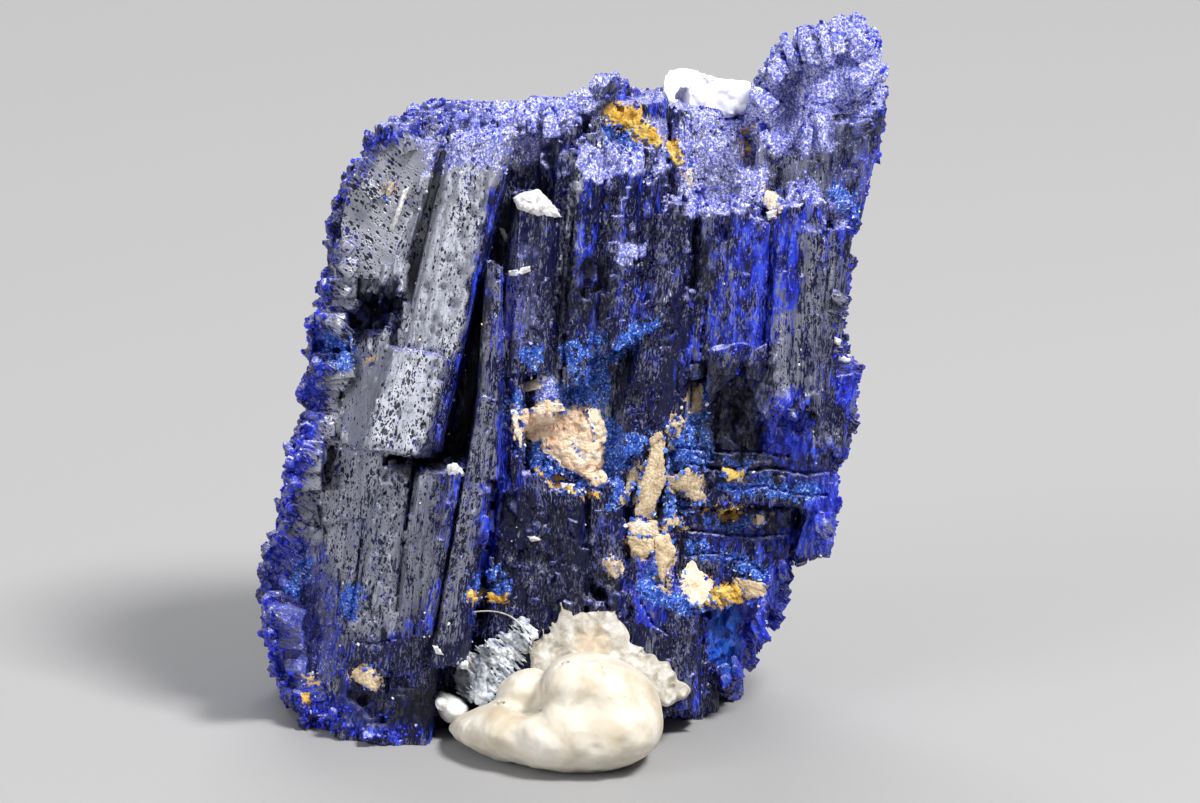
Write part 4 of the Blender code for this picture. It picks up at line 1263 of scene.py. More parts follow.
AZURE = [
    [(560, 348), (572, 338), (584, 342), (596, 332), (606, 340), (600, 356), (610, 372), (612, 392), (606, 408),
     (590, 404), (572, 408), (562, 398), (570, 380), (564, 364)],
    [(640, 326), (662, 318), (664, 326), (644, 340), (625, 352), (612, 366), (604, 362), (620, 342)],
    [(518, 388), (524, 380), (534, 376), (546, 373), (558, 380), (572, 392), (574, 404), (560, 409), (540, 404),
     (520, 406)],
    [(522, 352), (532, 346), (538, 356), (528, 362)],
    [(506, 408), (520, 400), (600, 402), (618, 418), (628, 440), (612, 478), (603, 494), (570, 492), (536, 472),
     (518, 452)],
    [(662, 436), (690, 430), (712, 440), (716, 462), (700, 468), (684, 462), (664, 478), (658, 470)],
    [(664, 490), (684, 500), (700, 494), (708, 502), (694, 510), (676, 518), (662, 514)],
    [(712, 476), (740, 480), (770, 478), (800, 486), (820, 492), (800, 500), (760, 496), (714, 492)],
    [(700, 514), (730, 518), (760, 516), (756, 524), (728, 527), (700, 524)],
    [(724, 457), (752, 460), (754, 467), (728, 466)],
    [(605, 122), (630, 122), (646, 132), (644, 146), (620, 146), (604, 134)],
    [(684, 540), (706, 542), (730, 548), (744, 560), (728, 566), (700, 558), (684, 560)],
    [(744, 560), (764, 568), (764, 578), (746, 572)],
    [(325, 338), (348, 336), (352, 362), (336, 374), (326, 360)],
    [(466, 576), (512, 580), (512, 602), (468, 598)],
    [(836, 190), (852, 196), (851, 216), (840, 216)],
    [(652, 436), (660, 428), (655, 455), (645, 480), (640, 510), (634, 505), (640, 470)],
    [(618, 430), (640, 440), (636, 470), (622, 500), (612, 500), (608, 470)],
    [(642, 576), (656, 566), (668, 585), (690, 598), (702, 612), (690, 616), (662, 606), (645, 596)],
    [(700, 375), (716, 380), (712, 412), (700, 430), (672, 450), (660, 446), (680, 420), (692, 398)],
    [(292, 560), (312, 556), (310, 584), (298, 600), (288, 592)],
    [(347, 590), (360, 588), (352, 616), (342, 626), (341, 610)],
]


ROCK_PINK = [
    [(531, 409), (540, 404), (552, 402), (560, 404), (568, 410), (585, 409), (598, 408), (603, 420), (607, 437),
     (602, 450), (608, 480), (594, 484), (582, 474), (568, 466), (556, 456), (544, 446), (532, 438), (520, 432),
     (513, 412), (524, 410)],
]
ROCK_CREAM0 = [
    [(530, 409), (545, 402), (560, 403), (566, 411), (552, 413), (536, 417)],
    [(584, 409), (599, 408), (604, 424), (607, 438), (597, 440), (590, 425)],
    [(511, 408), (517, 411), (522, 428), (522, 450), (514, 432)],
    [(521, 384), (530, 380), (541, 379), (543, 387), (530, 391), (522, 391)],
    [(627, 524), (636, 519), (642, 524), (657, 520), (658, 535), (645, 537), (630, 535)],
    [(682, 574), (688, 562), (694, 560), (697, 568), (706, 575), (714, 583), (708, 598), (700, 606), (690, 604),
     (680, 588)],
    [(606, 557), (612, 560), (620, 577), (615, 579), (608, 570)],
    [(763, 189), (778, 192), (780, 206), (770, 211), (763, 203)],
    [(685, 166), (692, 166), (693, 188), (686, 188)],
]
ROCK_TAN = [
    [(654, 440), (665, 437), (664, 458), (666, 482), (658, 500), (652, 517), (635, 514), (637, 496), (645, 468)],
    [(659, 482), (664, 475), (672, 476), (688, 468), (699, 472), (703, 482), (701, 490), (708, 499), (696, 503),
     (684, 494), (670, 487)],
    [(655, 536), (668, 530), (673, 545), (678, 552), (667, 566), (665, 588), (658, 575), (655, 552)],
    [(627, 535), (655, 538), (655, 550), (642, 561), (630, 549)],
    [(736, 578), (766, 583), (764, 596), (745, 600)],
    [(755, 514), (764, 513), (765, 523), (757, 526)],
    [(663, 519), (683, 517), (682, 525), (665, 527)],
    [(352, 673), (362, 670), (371, 667), (378, 678), (377, 692), (368, 689), (355, 681)],
    [(694, 388), (702, 382), (704, 396), (698, 410), (689, 416), (691, 402)],
    [(668, 424), (680, 415), (685, 421), (673, 431)],
    [(648, 440), (660, 431), (663, 437), (651, 446)],
    [(630, 470), (637, 462), (636, 480), (628, 500), (622, 500)],
    [(389, 182), (396, 180), (390, 196), (384, 200)],
    [(365, 357), (372, 357), (372, 364), (365, 364)],
]
ROCK_OCHRE = [
    [(606, 119), (612, 110), (619, 104), (629, 105), (636, 114), (644, 122), (655, 128), (661, 137), (664, 146),
     (650, 145), (640, 140), (630, 131), (618, 124)],
    [(660, 138), (680, 139), (682, 152), (684, 168), (676, 165), (664, 150)],
    [(706, 588), (725, 586), (742, 590), (740, 603), (722, 601), (708, 606)],
    [(535, 470), (546, 474), (545, 479), (536, 475)],
    [(552, 480), (560, 483), (559, 487), (552, 484)],
    [(568, 487), (575, 488), (574, 492), (568, 491)],
    [(589, 491), (598, 494), (596, 498), (588, 495)],
    [(303, 675), (314, 674), (316, 680), (305, 681)],
    [(304, 692), (309, 694), (308, 706), (303, 704)],
    [(722, 468), (744, 470), (744, 482), (726, 478)],
    [(743, 130), (749, 130), (749, 157), (743, 157)],
    [(468, 588), (478, 590), (508, 597), (506, 602), (478, 599), (468, 597)],
    [(702, 512), (720, 508), (742, 512), (738, 516), (718, 513)],
]
ROCK_WHITE = [
    [(512, 198), (524, 192), (538, 189), (546, 196), (556, 208), (562, 217), (550, 218), (535, 216), (518, 209)],
    [(499, 227), (504, 228), (510, 240), (506, 242), (501, 235)],
    [(508, 271), (520, 268), (530, 266), (531, 271), (518, 276), (509, 276)],
    [(527, 536), (534, 535), (541, 540), (532, 542)],
    [(447, 465), (455, 463), (462, 468), (466, 475), (456, 480), (448, 474)],
    [(432, 645), (438, 646), (444, 655), (436, 654)],
    [(403, 190), (409, 187), (405, 200), (400, 215), (393, 232), (389, 231), (395, 214)],
    [(766, 212), (778, 209), (776, 218), (768, 220)],
    [(560, 483), (575, 484), (573, 491), (562, 489)],
    [(834, 336), (842, 340), (840, 346), (834, 343)],
    [(838, 355), (850, 358), (850, 363), (838, 361)],
]
ROCK_CREAM = ROCK_PINK + ROCK_CREAM0


# ------------------------------------------------------------------ build the cluster
CRYSTALS = crystals()
fill()


# the pieces meet on these planes inside the slab
XS = (-118.0, 52.0)
YS = 60.0
BIG = 9999.0
PIECES = [
    ("blades_left", (-BIG, XS[0]), (-BIG, YS), 142000),
    ("blades_middle", (XS[0], XS[1]), (-BIG, YS), 150000),
    ("blades_right", (XS[1], BIG), (-BIG, YS), 156000),
    ("blades_back_left", (-BIG, -60.0), (YS, BIG), 68000),
    ("blades_back_right", (-60.0, BIG), (YS, BIG), 68000),
]
SKIN = []


def fields(p, nrm):
    """Grey (painted sheen), blue, dark (painted shade in hollows) / azure, sparkle (painted highlights), edge for
    points of the cluster with their outward normals.
    """
    u, v, d = unplace(p)
    u = u + (n3(p, 13.0, 31) - 0.5) * 13.0 + (n3(p, 5.0, 32) - 0.5) * 6.0
    v = v + (n3(p, 14.0, 33) - 0.5) * 15.0 + (n3(p, 5.0, 34) - 0.5) * 6.0
    front = (nrm @ SIGHT_DIR) < 0.30
    n = len(p)
    big = n3(p, 46.0, 21) + 0.5 * n3(p, 19.0, 22) - 0.75
    # painted reflection: a grey sheen everywhere, its strength set by slow noise
    grey = 0.36 + 0.55 * big
    blue = 0.26 + 0.7 * (n3(p, 60.0, 23) + 0.5 * n3(p, 24.0, 24) - 0.75)
    dark = np.zeros(n)
    # painted highlight: faces turned upwards get more sparkle, as light from above would give
    sparkle_highlight = 0.10 + 0.5 * np.clip(nrm[:, 2], 0, 1) ** 2 + 0.25 * (n3(p, 33.0, 25) - 0.5)
    back = ~front
    grey = np.clip(paint(grey, PAINTED_SHEEN, u, v, front), 0, 1)
    blue = np.clip(paint(blue, BLUE, u, v, front), 0, 1.4)
    dark = np.clip(paint(dark, PAINTED_SHADE, u, v, front), 0, 1)
    sparkle_highlight = np.clip(paint(sparkle_highlight, PAINTED_SPARKLE, u, v, front), 0, 1)
    # painted highlight: sparkle raised again on faces turned upwards
    sparkle_highlight = np.clip(sparkle_highlight * (0.55 + 0.65 * np.clip(nrm[:, 2] + 0.15, 0, 1)) + 0.12 * (n3(p, 7.0, 26) - 0.5), 0, 1)
    sparkle_highlight = np.clip(paint(sparkle_highlight, PAINTED_HIGHLIGHT, u, v, front), 0, 1)
    azure = np.full(n, -30.0)
    for poly in AZURE:
        q = np.array(poly, float)
        lo, hi = q.min(0) - 30, q.max(0) + 30
        k = np.flatnonzero(front & (u > lo[0]) & (u < hi[0]) & (v > lo[1]) & (v < hi[1]))
        if len(k):
            azure[k] = np.maximum(azure[k], inside_by(poly, u[k], v[k]))
    # the back has its own azure patches, in the hollows
    k = np.flatnonzero(back)
    azure[k] = np.maximum(azure[k], (n3(p[k], 55.0, 27) + 0.4 * n3(p[k], 17.0, 28) - 1.08) * 60.0)
    rocks = []
    for group in (ROCK_CREAM, ROCK_TAN, ROCK_OCHRE):
        value = np.full(n, -30.0)
        for poly in group:
            q = np.array(poly, float)
            lo, hi = q.min(0) - 12, q.max(0) + 12
            k = np.flatnonzero(front & (u > lo[0]) & (u < hi[0]) & (v > lo[1]) & (v < hi[1]))
            if len(k):
                value[k] = np.maximum(value[k], inside_by(poly, u[k], v[k]))
        rocks.append(value)
    rocks[1][back] = np.maximum(rocks[1][back], (n3(p[back], 30.0, 29) + 0.25 * n3(p[back], 9.0, 39) - 1.02) * 40.0)
    rocks[2][back] = np.maximum(rocks[2][back], (n3(p[back], 24.0, 30) + 0.25 * n3(p[back], 8.0, 40) - 1.06) * 40.0)
    azure = np.minimum(azure, 5.0) + (n3(p, 24.0, 36) - 0.45) * 14.0
    # painted light: faces turned to the right get more blue and less grey sheen, faces turned to the left more grey
    # sheen
    side = nrm @ RIGHT
    blue = np.clip(blue + 0.10 * np.clip(side - 0.15, 0, 1), 0, 1.4)
    grey = np.clip(grey - 0.35 * np.clip(side - 0.25, 0, 1) + 0.12 * np.clip(-side - 0.1, 0, 0.6), 0, 1)
    return grey, blue, dark, azure, sparkle_highlight, rocks


def build_piece(name, xr, yr, budget):
    low, high = [], []
    for a, (lo, hi) in ((0, xr), (1, yr)):
        i0 = 0 if lo < -BIG / 2 else int((lo - LOW[a]) / H) - 3
        i1 = S.shape[a] if hi > BIG / 2 else int((hi - LOW[a]) / H) + 5
        low.append(i0)
        high.append(i1)
    sub = S[low[0]:high[0], low[1]:high[1], :].copy()
    x = X[0][low[0]:high[0]]
    y = X[1][low[1]:high[1]]
    over = 0.8
    if xr[0] > -BIG / 2:
        np.maximum(sub, (xr[0] - over - x).astype(np.float32)[:, None, None], out=sub)
    if xr[1] < BIG / 2:
        np.maximum(sub, (x - xr[1] - over).astype(np.float32)[:, None, None], out=sub)
    if yr[0] > -BIG / 2:
        np.maximum(sub, (yr[0] - over - y).astype(np.float32)[None, :, None], out=sub)
    if yr[1] < BIG / 2:
        np.maximum(sub, (y - yr[1] - over).astype(np.float32)[None, :, None], out=sub)
    verts, quads = surface(sub, LOW + H * np.array([low[0], low[1], 0]))
    # the cut faces inside the slab and the level underside stay as they are
    keep = np.zeros(len(verts), bool)
    for a, (lo, hi) in ((0, xr), (1, yr)):
        keep |= verts[:, a] < lo + 0.5
        keep |= verts[:, a] > hi - 0.5
    low_down = verts[:, 2] < 1.0
    nrm = vertex_normals(verts, quads)
    skin = ~keep & ~low_down
    SKIN.append((verts[skin], nrm[skin]))
    amount = (n3(verts, 14.0, 1) - 0.5) * 0.5 + (n3(verts, 3.6, 2) - 0.5) * 0.35
    amount[keep | low_down] = 0.0
    verts = verts + nrm * amount[:, None]
    ob = add_object(name, mesh_from(name, to_world(verts), quads))
    decimated(ob, budget)
    dress(ob)
    ob.data.shade_smooth()
    ob.data.set_sharp_from_angle(angle=math.radians(32))
    return ob


def dress(ob):
    """Per-corner crystal coordinates and per-point region fields."""
    me = ob.data
    p = read_verts(me) / UNIT + ORIGIN
    nv = np.empty(len(me.vertices) * 3, np.float32)
    me.vertex_normals.foreach_get("vector", nv)
    nrm = nv.reshape(-1, 3).astype(float)
    grey, blue, dark, azure, sparkle_highlight, rocks = fields(p, nrm)
    # convex edges: how far the neighbours' middle lies under the surface
    ne = np.empty(len(me.edges) * 2, np.int32)
    me.edges.foreach_get("vertices", ne)
    ne = ne.reshape(-1, 2)
    d = p[ne[:, 1]] - p[ne[:, 0]]
    ln = np.maximum(np.linalg.norm(d, axis=1), 1e-6)
    bend = np.zeros(len(p))
    cnt = np.bincount(ne.ravel(), minlength=len(p))
    bend += np.bincount(ne[:, 0], weights=-(d * nrm[ne[:, 0]]).sum(1) / ln, minlength=len(p))
    bend += np.bincount(ne[:, 1], weights=(d * nrm[ne[:, 1]]).sum(1) / ln, minlength=len(p))
    bend /= np.maximum(cnt, 1)
    for name, cols in (("ga", (grey, blue, dark)), ("gb", (azure, sparkle_highlight, bend)), ("gc", rocks)):
        at = me.attributes.new(name, "FLOAT_VECTOR", "POINT")
        at.data.foreach_set("vector", np.stack(cols, 1).astype(np.float32).ravel())
    lv = np.empty(len(me.loops), np.int32)
    me.loops.foreach_get("vertex_index", lv)
    tri = lv.reshape(-1, 3)
    mid = p[tri].mean(1)
    fn = np.cross(p[tri[:, 1]] - p[tri[:, 0]], p[tri[:, 2]] - p[tri[:, 0]])
    fn /= np.maximum(np.linalg.norm(fn, axis=1), 1e-9)[:, None]
    i = np.clip(np.round((mid - fn * 1.0 - LOW) / H).astype(int), 0, DIMS - 1)
    k = K[i[:, 0], i[:, 1], i[:, 2]]
    k = np.where(k < 0, 0, k)
    f_foot = np.array([c.foot for c in CRYSTALS])
    f_r = np.array([c.r for c in CRYSTALS])
    f_w = np.array([c.w for c in CRYSTALS])
    f_a = np.array([c.a for c in CRYSTALS])
    kk = np.repeat(k, 3)
    q = p[lv] - f_foot[kk]
    loc = np.stack(((q * f_r[kk]).sum(1) + kk * 61.0, (q * f_w[kk]).sum(1), (q * f_a[kk]).sum(1)), 1)
    at = me.attributes.new("loc", "FLOAT_VECTOR", "CORNER")
    at.data.foreach_set("vector", loc.astype(np.float32).ravel())


blades = [build_piece(*p) for p in PIECES]


# ------------------------------------------------------------------ materials
class Nodes:
    def __init__(self, name):
        self.mat = bpy.data.materials.new(name)
        self.mat.use_nodes = True
        self.t = self.mat.node_tree
        self.bsdf = self.t.nodes["Principled BSDF"]

    def add(self, kind, **props):
        n = self.t.nodes.new(kind)
        for k, v in props.items():
            setattr(n, k, v)
        return n

    def put(self, socket, value):
        if hasattr(value, "is_output"):
            self.t.links.new(value, socket)
        elif value is not None:
            if isinstance(value, (tuple, list)) and len(value) == 3 and socket.type == "RGBA":
                value = (*value, 1.0)
            socket.default_value = value

    def attr(self, name):
        n = self.add("ShaderNodeAttribute", attribute_name=name)
        return n.outputs["Vector"]

    def split(self, vec):
        n = self.add("ShaderNodeSeparateXYZ")
        self.put(n.inputs[0], vec)
        return n.outputs[0], n.outputs[1], n.outputs[2]

    def join(self, x, y, z):
        n = self.add("ShaderNodeCombineXYZ")
        for s, v in zip(n.inputs, (x, y, z)):
            self.put(s, v)
        return n.outputs[0]

    def math(self, op, a, b=None, c=None, clamp=False):
        n = self.add("ShaderNodeMath", operation=op, use_clamp=clamp)
        self.put(n.inputs[0], a)
        if b is not None:
            self.put(n.inputs[1], b)
        if c is not None:
            self.put(n.inputs[2], c)
        return n.outputs[0]

    def scaled(self, vec, s):
        n = self.add("ShaderNodeVectorMath", operation="MULTIPLY")
        self.put(n.inputs[0], vec)
        n.inputs[1].default_value = s
        return n.outputs[0]

    def noise(self, vec, scale=1.0, detail=2.0, rough=0.55, dist=0.0):
        n = self.add("ShaderNodeTexNoise")
        self.put(n.inputs["Vector"], vec)
        n.inputs["Scale"].default_value = scale
        n.inputs["Detail"].default_value = detail
        n.inputs["Roughness"].default_value = rough
        n.inputs["Distortion"].default_value = dist
        return n.outputs[0]

    def cells(self, vec, scale=1.0, out="Distance", feature="F1", random=1.0):
        n = self.add("ShaderNodeTexVoronoi", feature=feature)
        self.put(n.inputs["Vector"], vec)
        n.inputs["Scale"].default_value = scale
        n.inputs["Randomness"].default_value = random
        return n.outputs[out]

    def step(self, x, lo, hi, a=0.0, b=1.0):
        n = self.add("ShaderNodeMapRange", interpolation_type="SMOOTHSTEP")
        self.put(n.inputs["Value"], x)
        self.put(n.inputs["From Min"], lo)
        self.put(n.inputs["From Max"], hi)
        self.put(n.inputs["To Min"], a)
        self.put(n.inputs["To Max"], b)
        return n.outputs[0]

    def mix(self, f, a, b, mode="MIX"):
        n = self.add("ShaderNodeMix", data_type="RGBA", blend_type=mode)
        self.put(n.inputs["Factor"], f)
        self.put(n.inputs[6], a)
        self.put(n.inputs[7], b)
        return n.outputs[2]

    def ramp(self, f, stops):
        n = self.add("ShaderNodeValToRGB")
        e = n.color_ramp.elements
        while len(e) < len(stops):
            e.new(0.5)
        for el, (pos, col) in zip(e, stops):
            el.position = pos
            el.color = (*col, 1.0)
        self.put(n.inputs[0], f)
        return n.outputs[0]

    def bump(self, height, strength, distance, normal=None):
        n = self.add("ShaderNodeBump")
        n.inputs["Strength"].default_value = strength
        n.inputs["Distance"].default_value = distance
        self.put(n.inputs["Height"], height)
        if normal is not None:
            self.put(n.inputs["Normal"], normal)
        return n.outputs[0]

    def facets(self, vec, amount):
        c = self.cells(vec, 1.0, "Color")
        n = self.add("ShaderNodeVectorMath", operation="SUBTRACT")
        self.put(n.inputs[0], c)
        n.inputs[1].default_value = (0.5, 0.5, 0.5)
        k = self.add("ShaderNodeVectorMath", operation="SCALE")
        self.put(k.inputs[0], n.outputs[0])
        self.put(k.inputs["Scale"], amount)
        return k.outputs[0]

    def turned(self, normal, *offsets):
        for o in offsets:
            n = self.add("ShaderNodeVectorMath", operation="ADD")
            self.put(n.inputs[0], normal)
            self.put(n.inputs[1], o)
            normal = n.outputs[0]
        n = self.add("ShaderNodeVectorMath", operation="NORMALIZE")
        self.put(n.inputs[0], normal)
        return n.outputs[0]

    def finish(self, colour, rough, normal=None, **fixed):
        b = self.bsdf.inputs
        self.put(b["Base Color"], colour)
        self.put(b["Roughness"], rough)
        if normal is not None:
            self.put(b["Normal"], normal)
        for k, v in fixed.items():
            self.put(b[k.replace("_", " ")], v)
        return self.mat


def azurite_material():
    m = Nodes("azurite")
    L = m.attr("loc")
    grey, blue, dark = m.split(m.attr("ga"))
    azure, sparkle_highlight, bend = m.split(m.attr("gb"))
    cream, tan, ochre = m.split(m.attr("gc"))
    s, w, t = m.split(L)
    across = m.math("MULTIPLY_ADD", w, 1.45, s)
    fine = m.noise(m.scaled(L, (0.34, 0.34, 0.11)), 1.0, 4.0, 0.66)
    mid = m.noise(m.scaled(L, (0.10, 0.10, 0.034)), 1.0, 3.0, 0.6, 0.4)
    slow = m.noise(m.scaled(L, (0.030, 0.030, 0.017)), 1.0, 2.0, 0.5, 0.3)
    stri = m.noise(m.join(m.math("MULTIPLY", across, 0.62), 0.0, m.math("MULTIPLY", t, 0.016)), 1.0, 2.0, 0.6)
    # etched pits in two sizes, thick in some places and thin in others
    crowd = m.math("MULTIPLY_ADD", m.math("SUBTRACT", slow, 0.5), 0.75, 0.27)
    crowd = m.math("MULTIPLY_ADD", m.math("SUBTRACT", fine, 0.5), 0.34, crowd)
    pit = m.step(m.math("SUBTRACT", m.cells(m.scaled(L, (0.20, 0.20, 0.12)), 1.0), crowd), 0.03, -0.03)
    pit2 = m.step(m.math("SUBTRACT", m.cells(m.scaled(L, (0.46, 0.46, 0.30)), 1.0), crowd), 0.04, -0.04)
    pits = m.math("MAXIMUM", pit, pit2)
    # where a noise value passes a level set by the field, the tone shows
    mixn = m.math("MULTIPLY_ADD", m.math("SUBTRACT", fine, 0.5), 1.5,
                  m.math("MULTIPLY_ADD", m.math("SUBTRACT", mid, 0.5), 1.2,
                         m.math("MULTIPLY_ADD", m.math("SUBTRACT", stri, 0.5), 0.8, 0.5)))
    # painted reflection: g is where the grey sheen shows
    lim = m.math("SUBTRACT", 1.0, grey)
    g = m.step(mixn, m.math("SUBTRACT", lim, 0.06), m.math("ADD", lim, 0.08))
    lim = m.math("SUBTRACT", 1.0, blue)
    bn = m.math("MULTIPLY_ADD", m.math("SUBTRACT", mid, 0.5), 1.7,
                m.math("MULTIPLY_ADD", m.math("SUBTRACT", fine, 0.5), -0.9, 0.5))
    b = m.step(bn, m.math("SUBTRACT", lim, 0.16), m.math("ADD", lim, 0.24))
    navy = m.mix(fine, (0.0015, 0.0020, 0.012), (0.0050, 0.0064, 0.060))
    vivid = m.ramp(mid, [(0.30, (0.0040, 0.0060, 0.12)), (0.50, (0.0110, 0.0220, 0.40)), (0.70, (0.036, 0.086, 0.82))])
    col = m.mix(b, navy, vivid)
    col = m.mix(m.step(blue, 1.05, 1.30), col, m.mix(fine, (0.006, 0.040, 0.34), (0.020, 0.165, 0.78)))
    # painted glints: small faces lightened to grey and lilac, standing for reflected light
    painted_glint = m.noise(m.scaled(L, (0.55, 0.55, 0.20)), 1.0, 2.0, 0.6)
    painted_glint = m.step(m.math("MULTIPLY_ADD", m.math("SUBTRACT", slow, 0.5), 0.60, painted_glint), 0.59, 0.63)
    col = m.mix(m.math("MULTIPLY", painted_glint, 0.90), col, m.mix(b, (0.125, 0.130, 0.215), (0.120, 0.145, 0.66)))
    # painted highlight: pale lilac-blue where the sparkle highlight field is high
    pale = m.step(sparkle_highlight, 0.20, 0.60, 0.0, 0.92)
    col = m.mix(m.math("MULTIPLY", pale, m.step(mid, 0.26, 0.50)), col, m.mix(fine, (0.100, 0.112, 0.42), (0.38, 0.40, 0.74)))
    # painted reflection: grey and light grey tones for the sheen of reflected light on broad faces
    sheen_col = m.mix(m.step(stri, 0.3, 0.7), (0.085, 0.089, 0.138), (0.200, 0.206, 0.275))
    high = m.mix(m.step(m.math("MULTIPLY_ADD", slow, 0.6, m.math("MULTIPLY", stri, 0.4)), 0.36, 0.62),
                 (0.270, 0.278, 0.332), (0.440, 0.450, 0.505))
    sheen_col = m.mix(m.step(grey, 0.50, 0.92), sheen_col, high)
    col = m.mix(g, col, sheen_col)
    deep = m.mix(m.step(mid, 0.52, 0.64), (0.0022, 0.0030, 0.022), (0.0060, 0.0090, 0.20))
    col = m.mix(m.math("MULTIPLY", pits, m.step(grey, 0.30, 0.62, 0.25, 0.96)), col, deep)
    # painted light: convex edges lightened to vivid blue, standing for light shining through thin edges
    edge = m.step(bend, 0.14, 0.42)
    edge_light_col = m.mix(m.step(fine, 0.42, 0.60), (0.008, 0.014, 0.44), (0.050, 0.060, 0.66))
    col = m.mix(m.math("MULTIPLY", edge, m.step(grey, 0.3, 0.9, 0.55, 0.20)), col, edge_light_col)
    # azure druse; the white at the top of its colour ramp is painted glints
    azn = m.noise(m.scaled(L, (0.42, 0.42, 0.42)), 1.0, 3.0, 0.75)
    clump = m.noise(m.scaled(L, (0.16, 0.16, 0.14)), 1.0, 3.0, 0.65)
    az = m.step(m.math("MULTIPLY_ADD", m.math("SUBTRACT", mid, 0.5), 14.0,
                       m.math("MULTIPLY_ADD", m.math("SUBTRACT", clump, 0.5), 34.0, azure)), -1.0, 1.5)
    azure_glint_col = m.ramp(azn, [(0.34, (0.003, 0.010, 0.09)), (0.44, (0.014, 0.060, 0.40)), (0.53, (0.032, 0.150, 0.72)),
                         (0.60, (0.14, 0.34, 0.90)), (0.645, (0.98, 0.98, 0.97))])
    col = m.mix(m.math("MULTIPLY", az, 0.92), col, azure_glint_col)
    # crusts of other minerals, ragged and speckled at their borders
    ragged = m.math("MULTIPLY_ADD", m.math("SUBTRACT", azn, 0.5), 12.0,
                    m.math("MULTIPLY_ADD", m.math("SUBTRACT", clump, 0.5), 22.0, 1.5))
    grain = m.noise(m.scaled(L, (0.9, 0.9, 0.9)), 1.0, 3.0, 0.7)
    rocky = 0.0
    for field, ramp in ((tan, [(0.30, (0.20, 0.14, 0.08)), (0.50, (0.50, 0.38, 0.24)), (0.68, (0.76, 0.62, 0.42))]),
                        (cream, [(0.30, (0.42, 0.28, 0.18)), (0.48, (0.80, 0.62, 0.45)), (0.66, (0.95, 0.84, 0.66))]),
                        (ochre, [(0.30, (0.30, 0.13, 0.01)), (0.50, (0.75, 0.42, 0.05)), (0.68, (0.95, 0.72, 0.25))])):
        on = m.step(m.math("ADD", field, ragged), -0.5, 1.0)
        col = m.mix(on, col, m.ramp(grain, ramp))
        rocky = on if isinstance(rocky, float) else m.math("MAXIMUM", rocky, on)
    # painted glints: bright white and vivid blue flecks where the sparkle highlight field is high
    sp = m.math("SUBTRACT", 1.0, sparkle_highlight)
    spn = m.noise(m.scaled(L, (0.50, 0.50, 0.36)), 1.0, 3.0, 0.72)
    spn = m.math("MULTIPLY_ADD", m.math("SUBTRACT", spn, 0.5), 1.7, 0.5)
    glint_fleck = m.step(spn, m.math("SUBTRACT", sp, 0.02), m.math("ADD", sp, 0.10))
    col = m.mix(m.math("MULTIPLY", glint_fleck, 0.90), col, m.mix(m.step(azn, 0.44, 0.62), (0.13, 0.16, 0.74), (0.96, 0.95, 1.00)))
    # painted shade: deep hollows and recesses darkened to near black
    col = m.mix(m.math("MULTIPLY", dark, 0.92), col, (0.0010, 0.0012, 0.0030))
    rough = m.math("MULTIPLY_ADD", fine, 0.24, 0.08)
    rough = m.math("MULTIPLY_ADD", m.math("MULTIPLY", az, 1.0), 0.20, rough)
    rough = m.math("MULTIPLY_ADD", rocky, 0.45, rough)
    rough = m.math("MULTIPLY_ADD", dark, 0.35, rough, clamp=True)
    h = m.math("MULTIPLY_ADD", pits, -1.6, m.math("MULTIPLY_ADD", stri, 1.1, m.math("MULTIPLY", fine, 0.8)))
    h = m.math("MULTIPLY_ADD", m.math("MULTIPLY", az, azn), 2.4, h)
    h = m.math("MULTIPLY_ADD", m.math("MULTIPLY", glint_fleck, spn), 1.2, h)
    normal = m.bump(h, 0.55, UNIT * 1.2)
    # tiny crystal faces, each turned its own way, calmer on the broad grey faces
    calm = m.step(grey, 0.40, 0.85, 0.62, 0.10)
    one = m.facets(m.scaled(L, (0.30, 0.30, 0.13)), calm)
    two = m.facets(m.scaled(L, (0.10, 0.10, 0.040)), m.math("MULTIPLY", calm, 0.45))
    normal = m.turned(normal, one, two)
    m.bsdf.inputs["Specular IOR Level"].default_value = 0.19
    metal = m.math("MULTIPLY", g, m.math("SUBTRACT", 0.28, m.math("MULTIPLY", pits, 0.25)))
    metal = m.math("MULTIPLY", metal, m.math("SUBTRACT", 1.0, m.math("MAXIMUM", rocky, az)))
    return m.finish(col, rough, normal, IOR=1.73, Metallic=metal)


def rock_material(name, ramp, grain, rough, depth, tone_scale=0.06, speck=None, hollow_darkening=0.45):
    """Matte rock: a toned ramp, darker specks in its hollows and a granular relief."""
    m = Nodes(name)
    g = m.add("ShaderNodeNewGeometry")
    p = m.add("ShaderNodeVectorMath", operation="SCALE")
    m.put(p.inputs[0], g.outputs["Position"])
    p.inputs["Scale"].default_value = 1.0 / UNIT
    P = p.outputs[0]
    tone = m.noise(P, tone_scale, 3.0, 0.6, 0.3)
    n = m.noise(P, grain, 4.0, 0.7)
    cell = m.cells(P, grain * 0.8)
    col = m.ramp(m.math("MULTIPLY_ADD", m.math("SUBTRACT", n, 0.5), 0.5, tone), ramp)
    # darker specks where the cell pattern's hollows lie, the same hollows the bump carves
    col = m.mix(m.step(cell, 0.50, 0.78, 0.0, hollow_darkening), col, (0.16, 0.10, 0.06))
    if speck:
        sp = m.noise(P, grain * 1.3, 2.0, 0.6)
        col = m.mix(m.step(sp, 0.66, 0.72), col, speck)
    h = m.math("MULTIPLY_ADD", cell, -0.6, m.math("MULTIPLY", n, 1.4))
    return m.finish(col, m.math("MULTIPLY_ADD", n, 0.2, rough - 0.1, clamp=True), m.bump(h, 0.7, UNIT * depth))


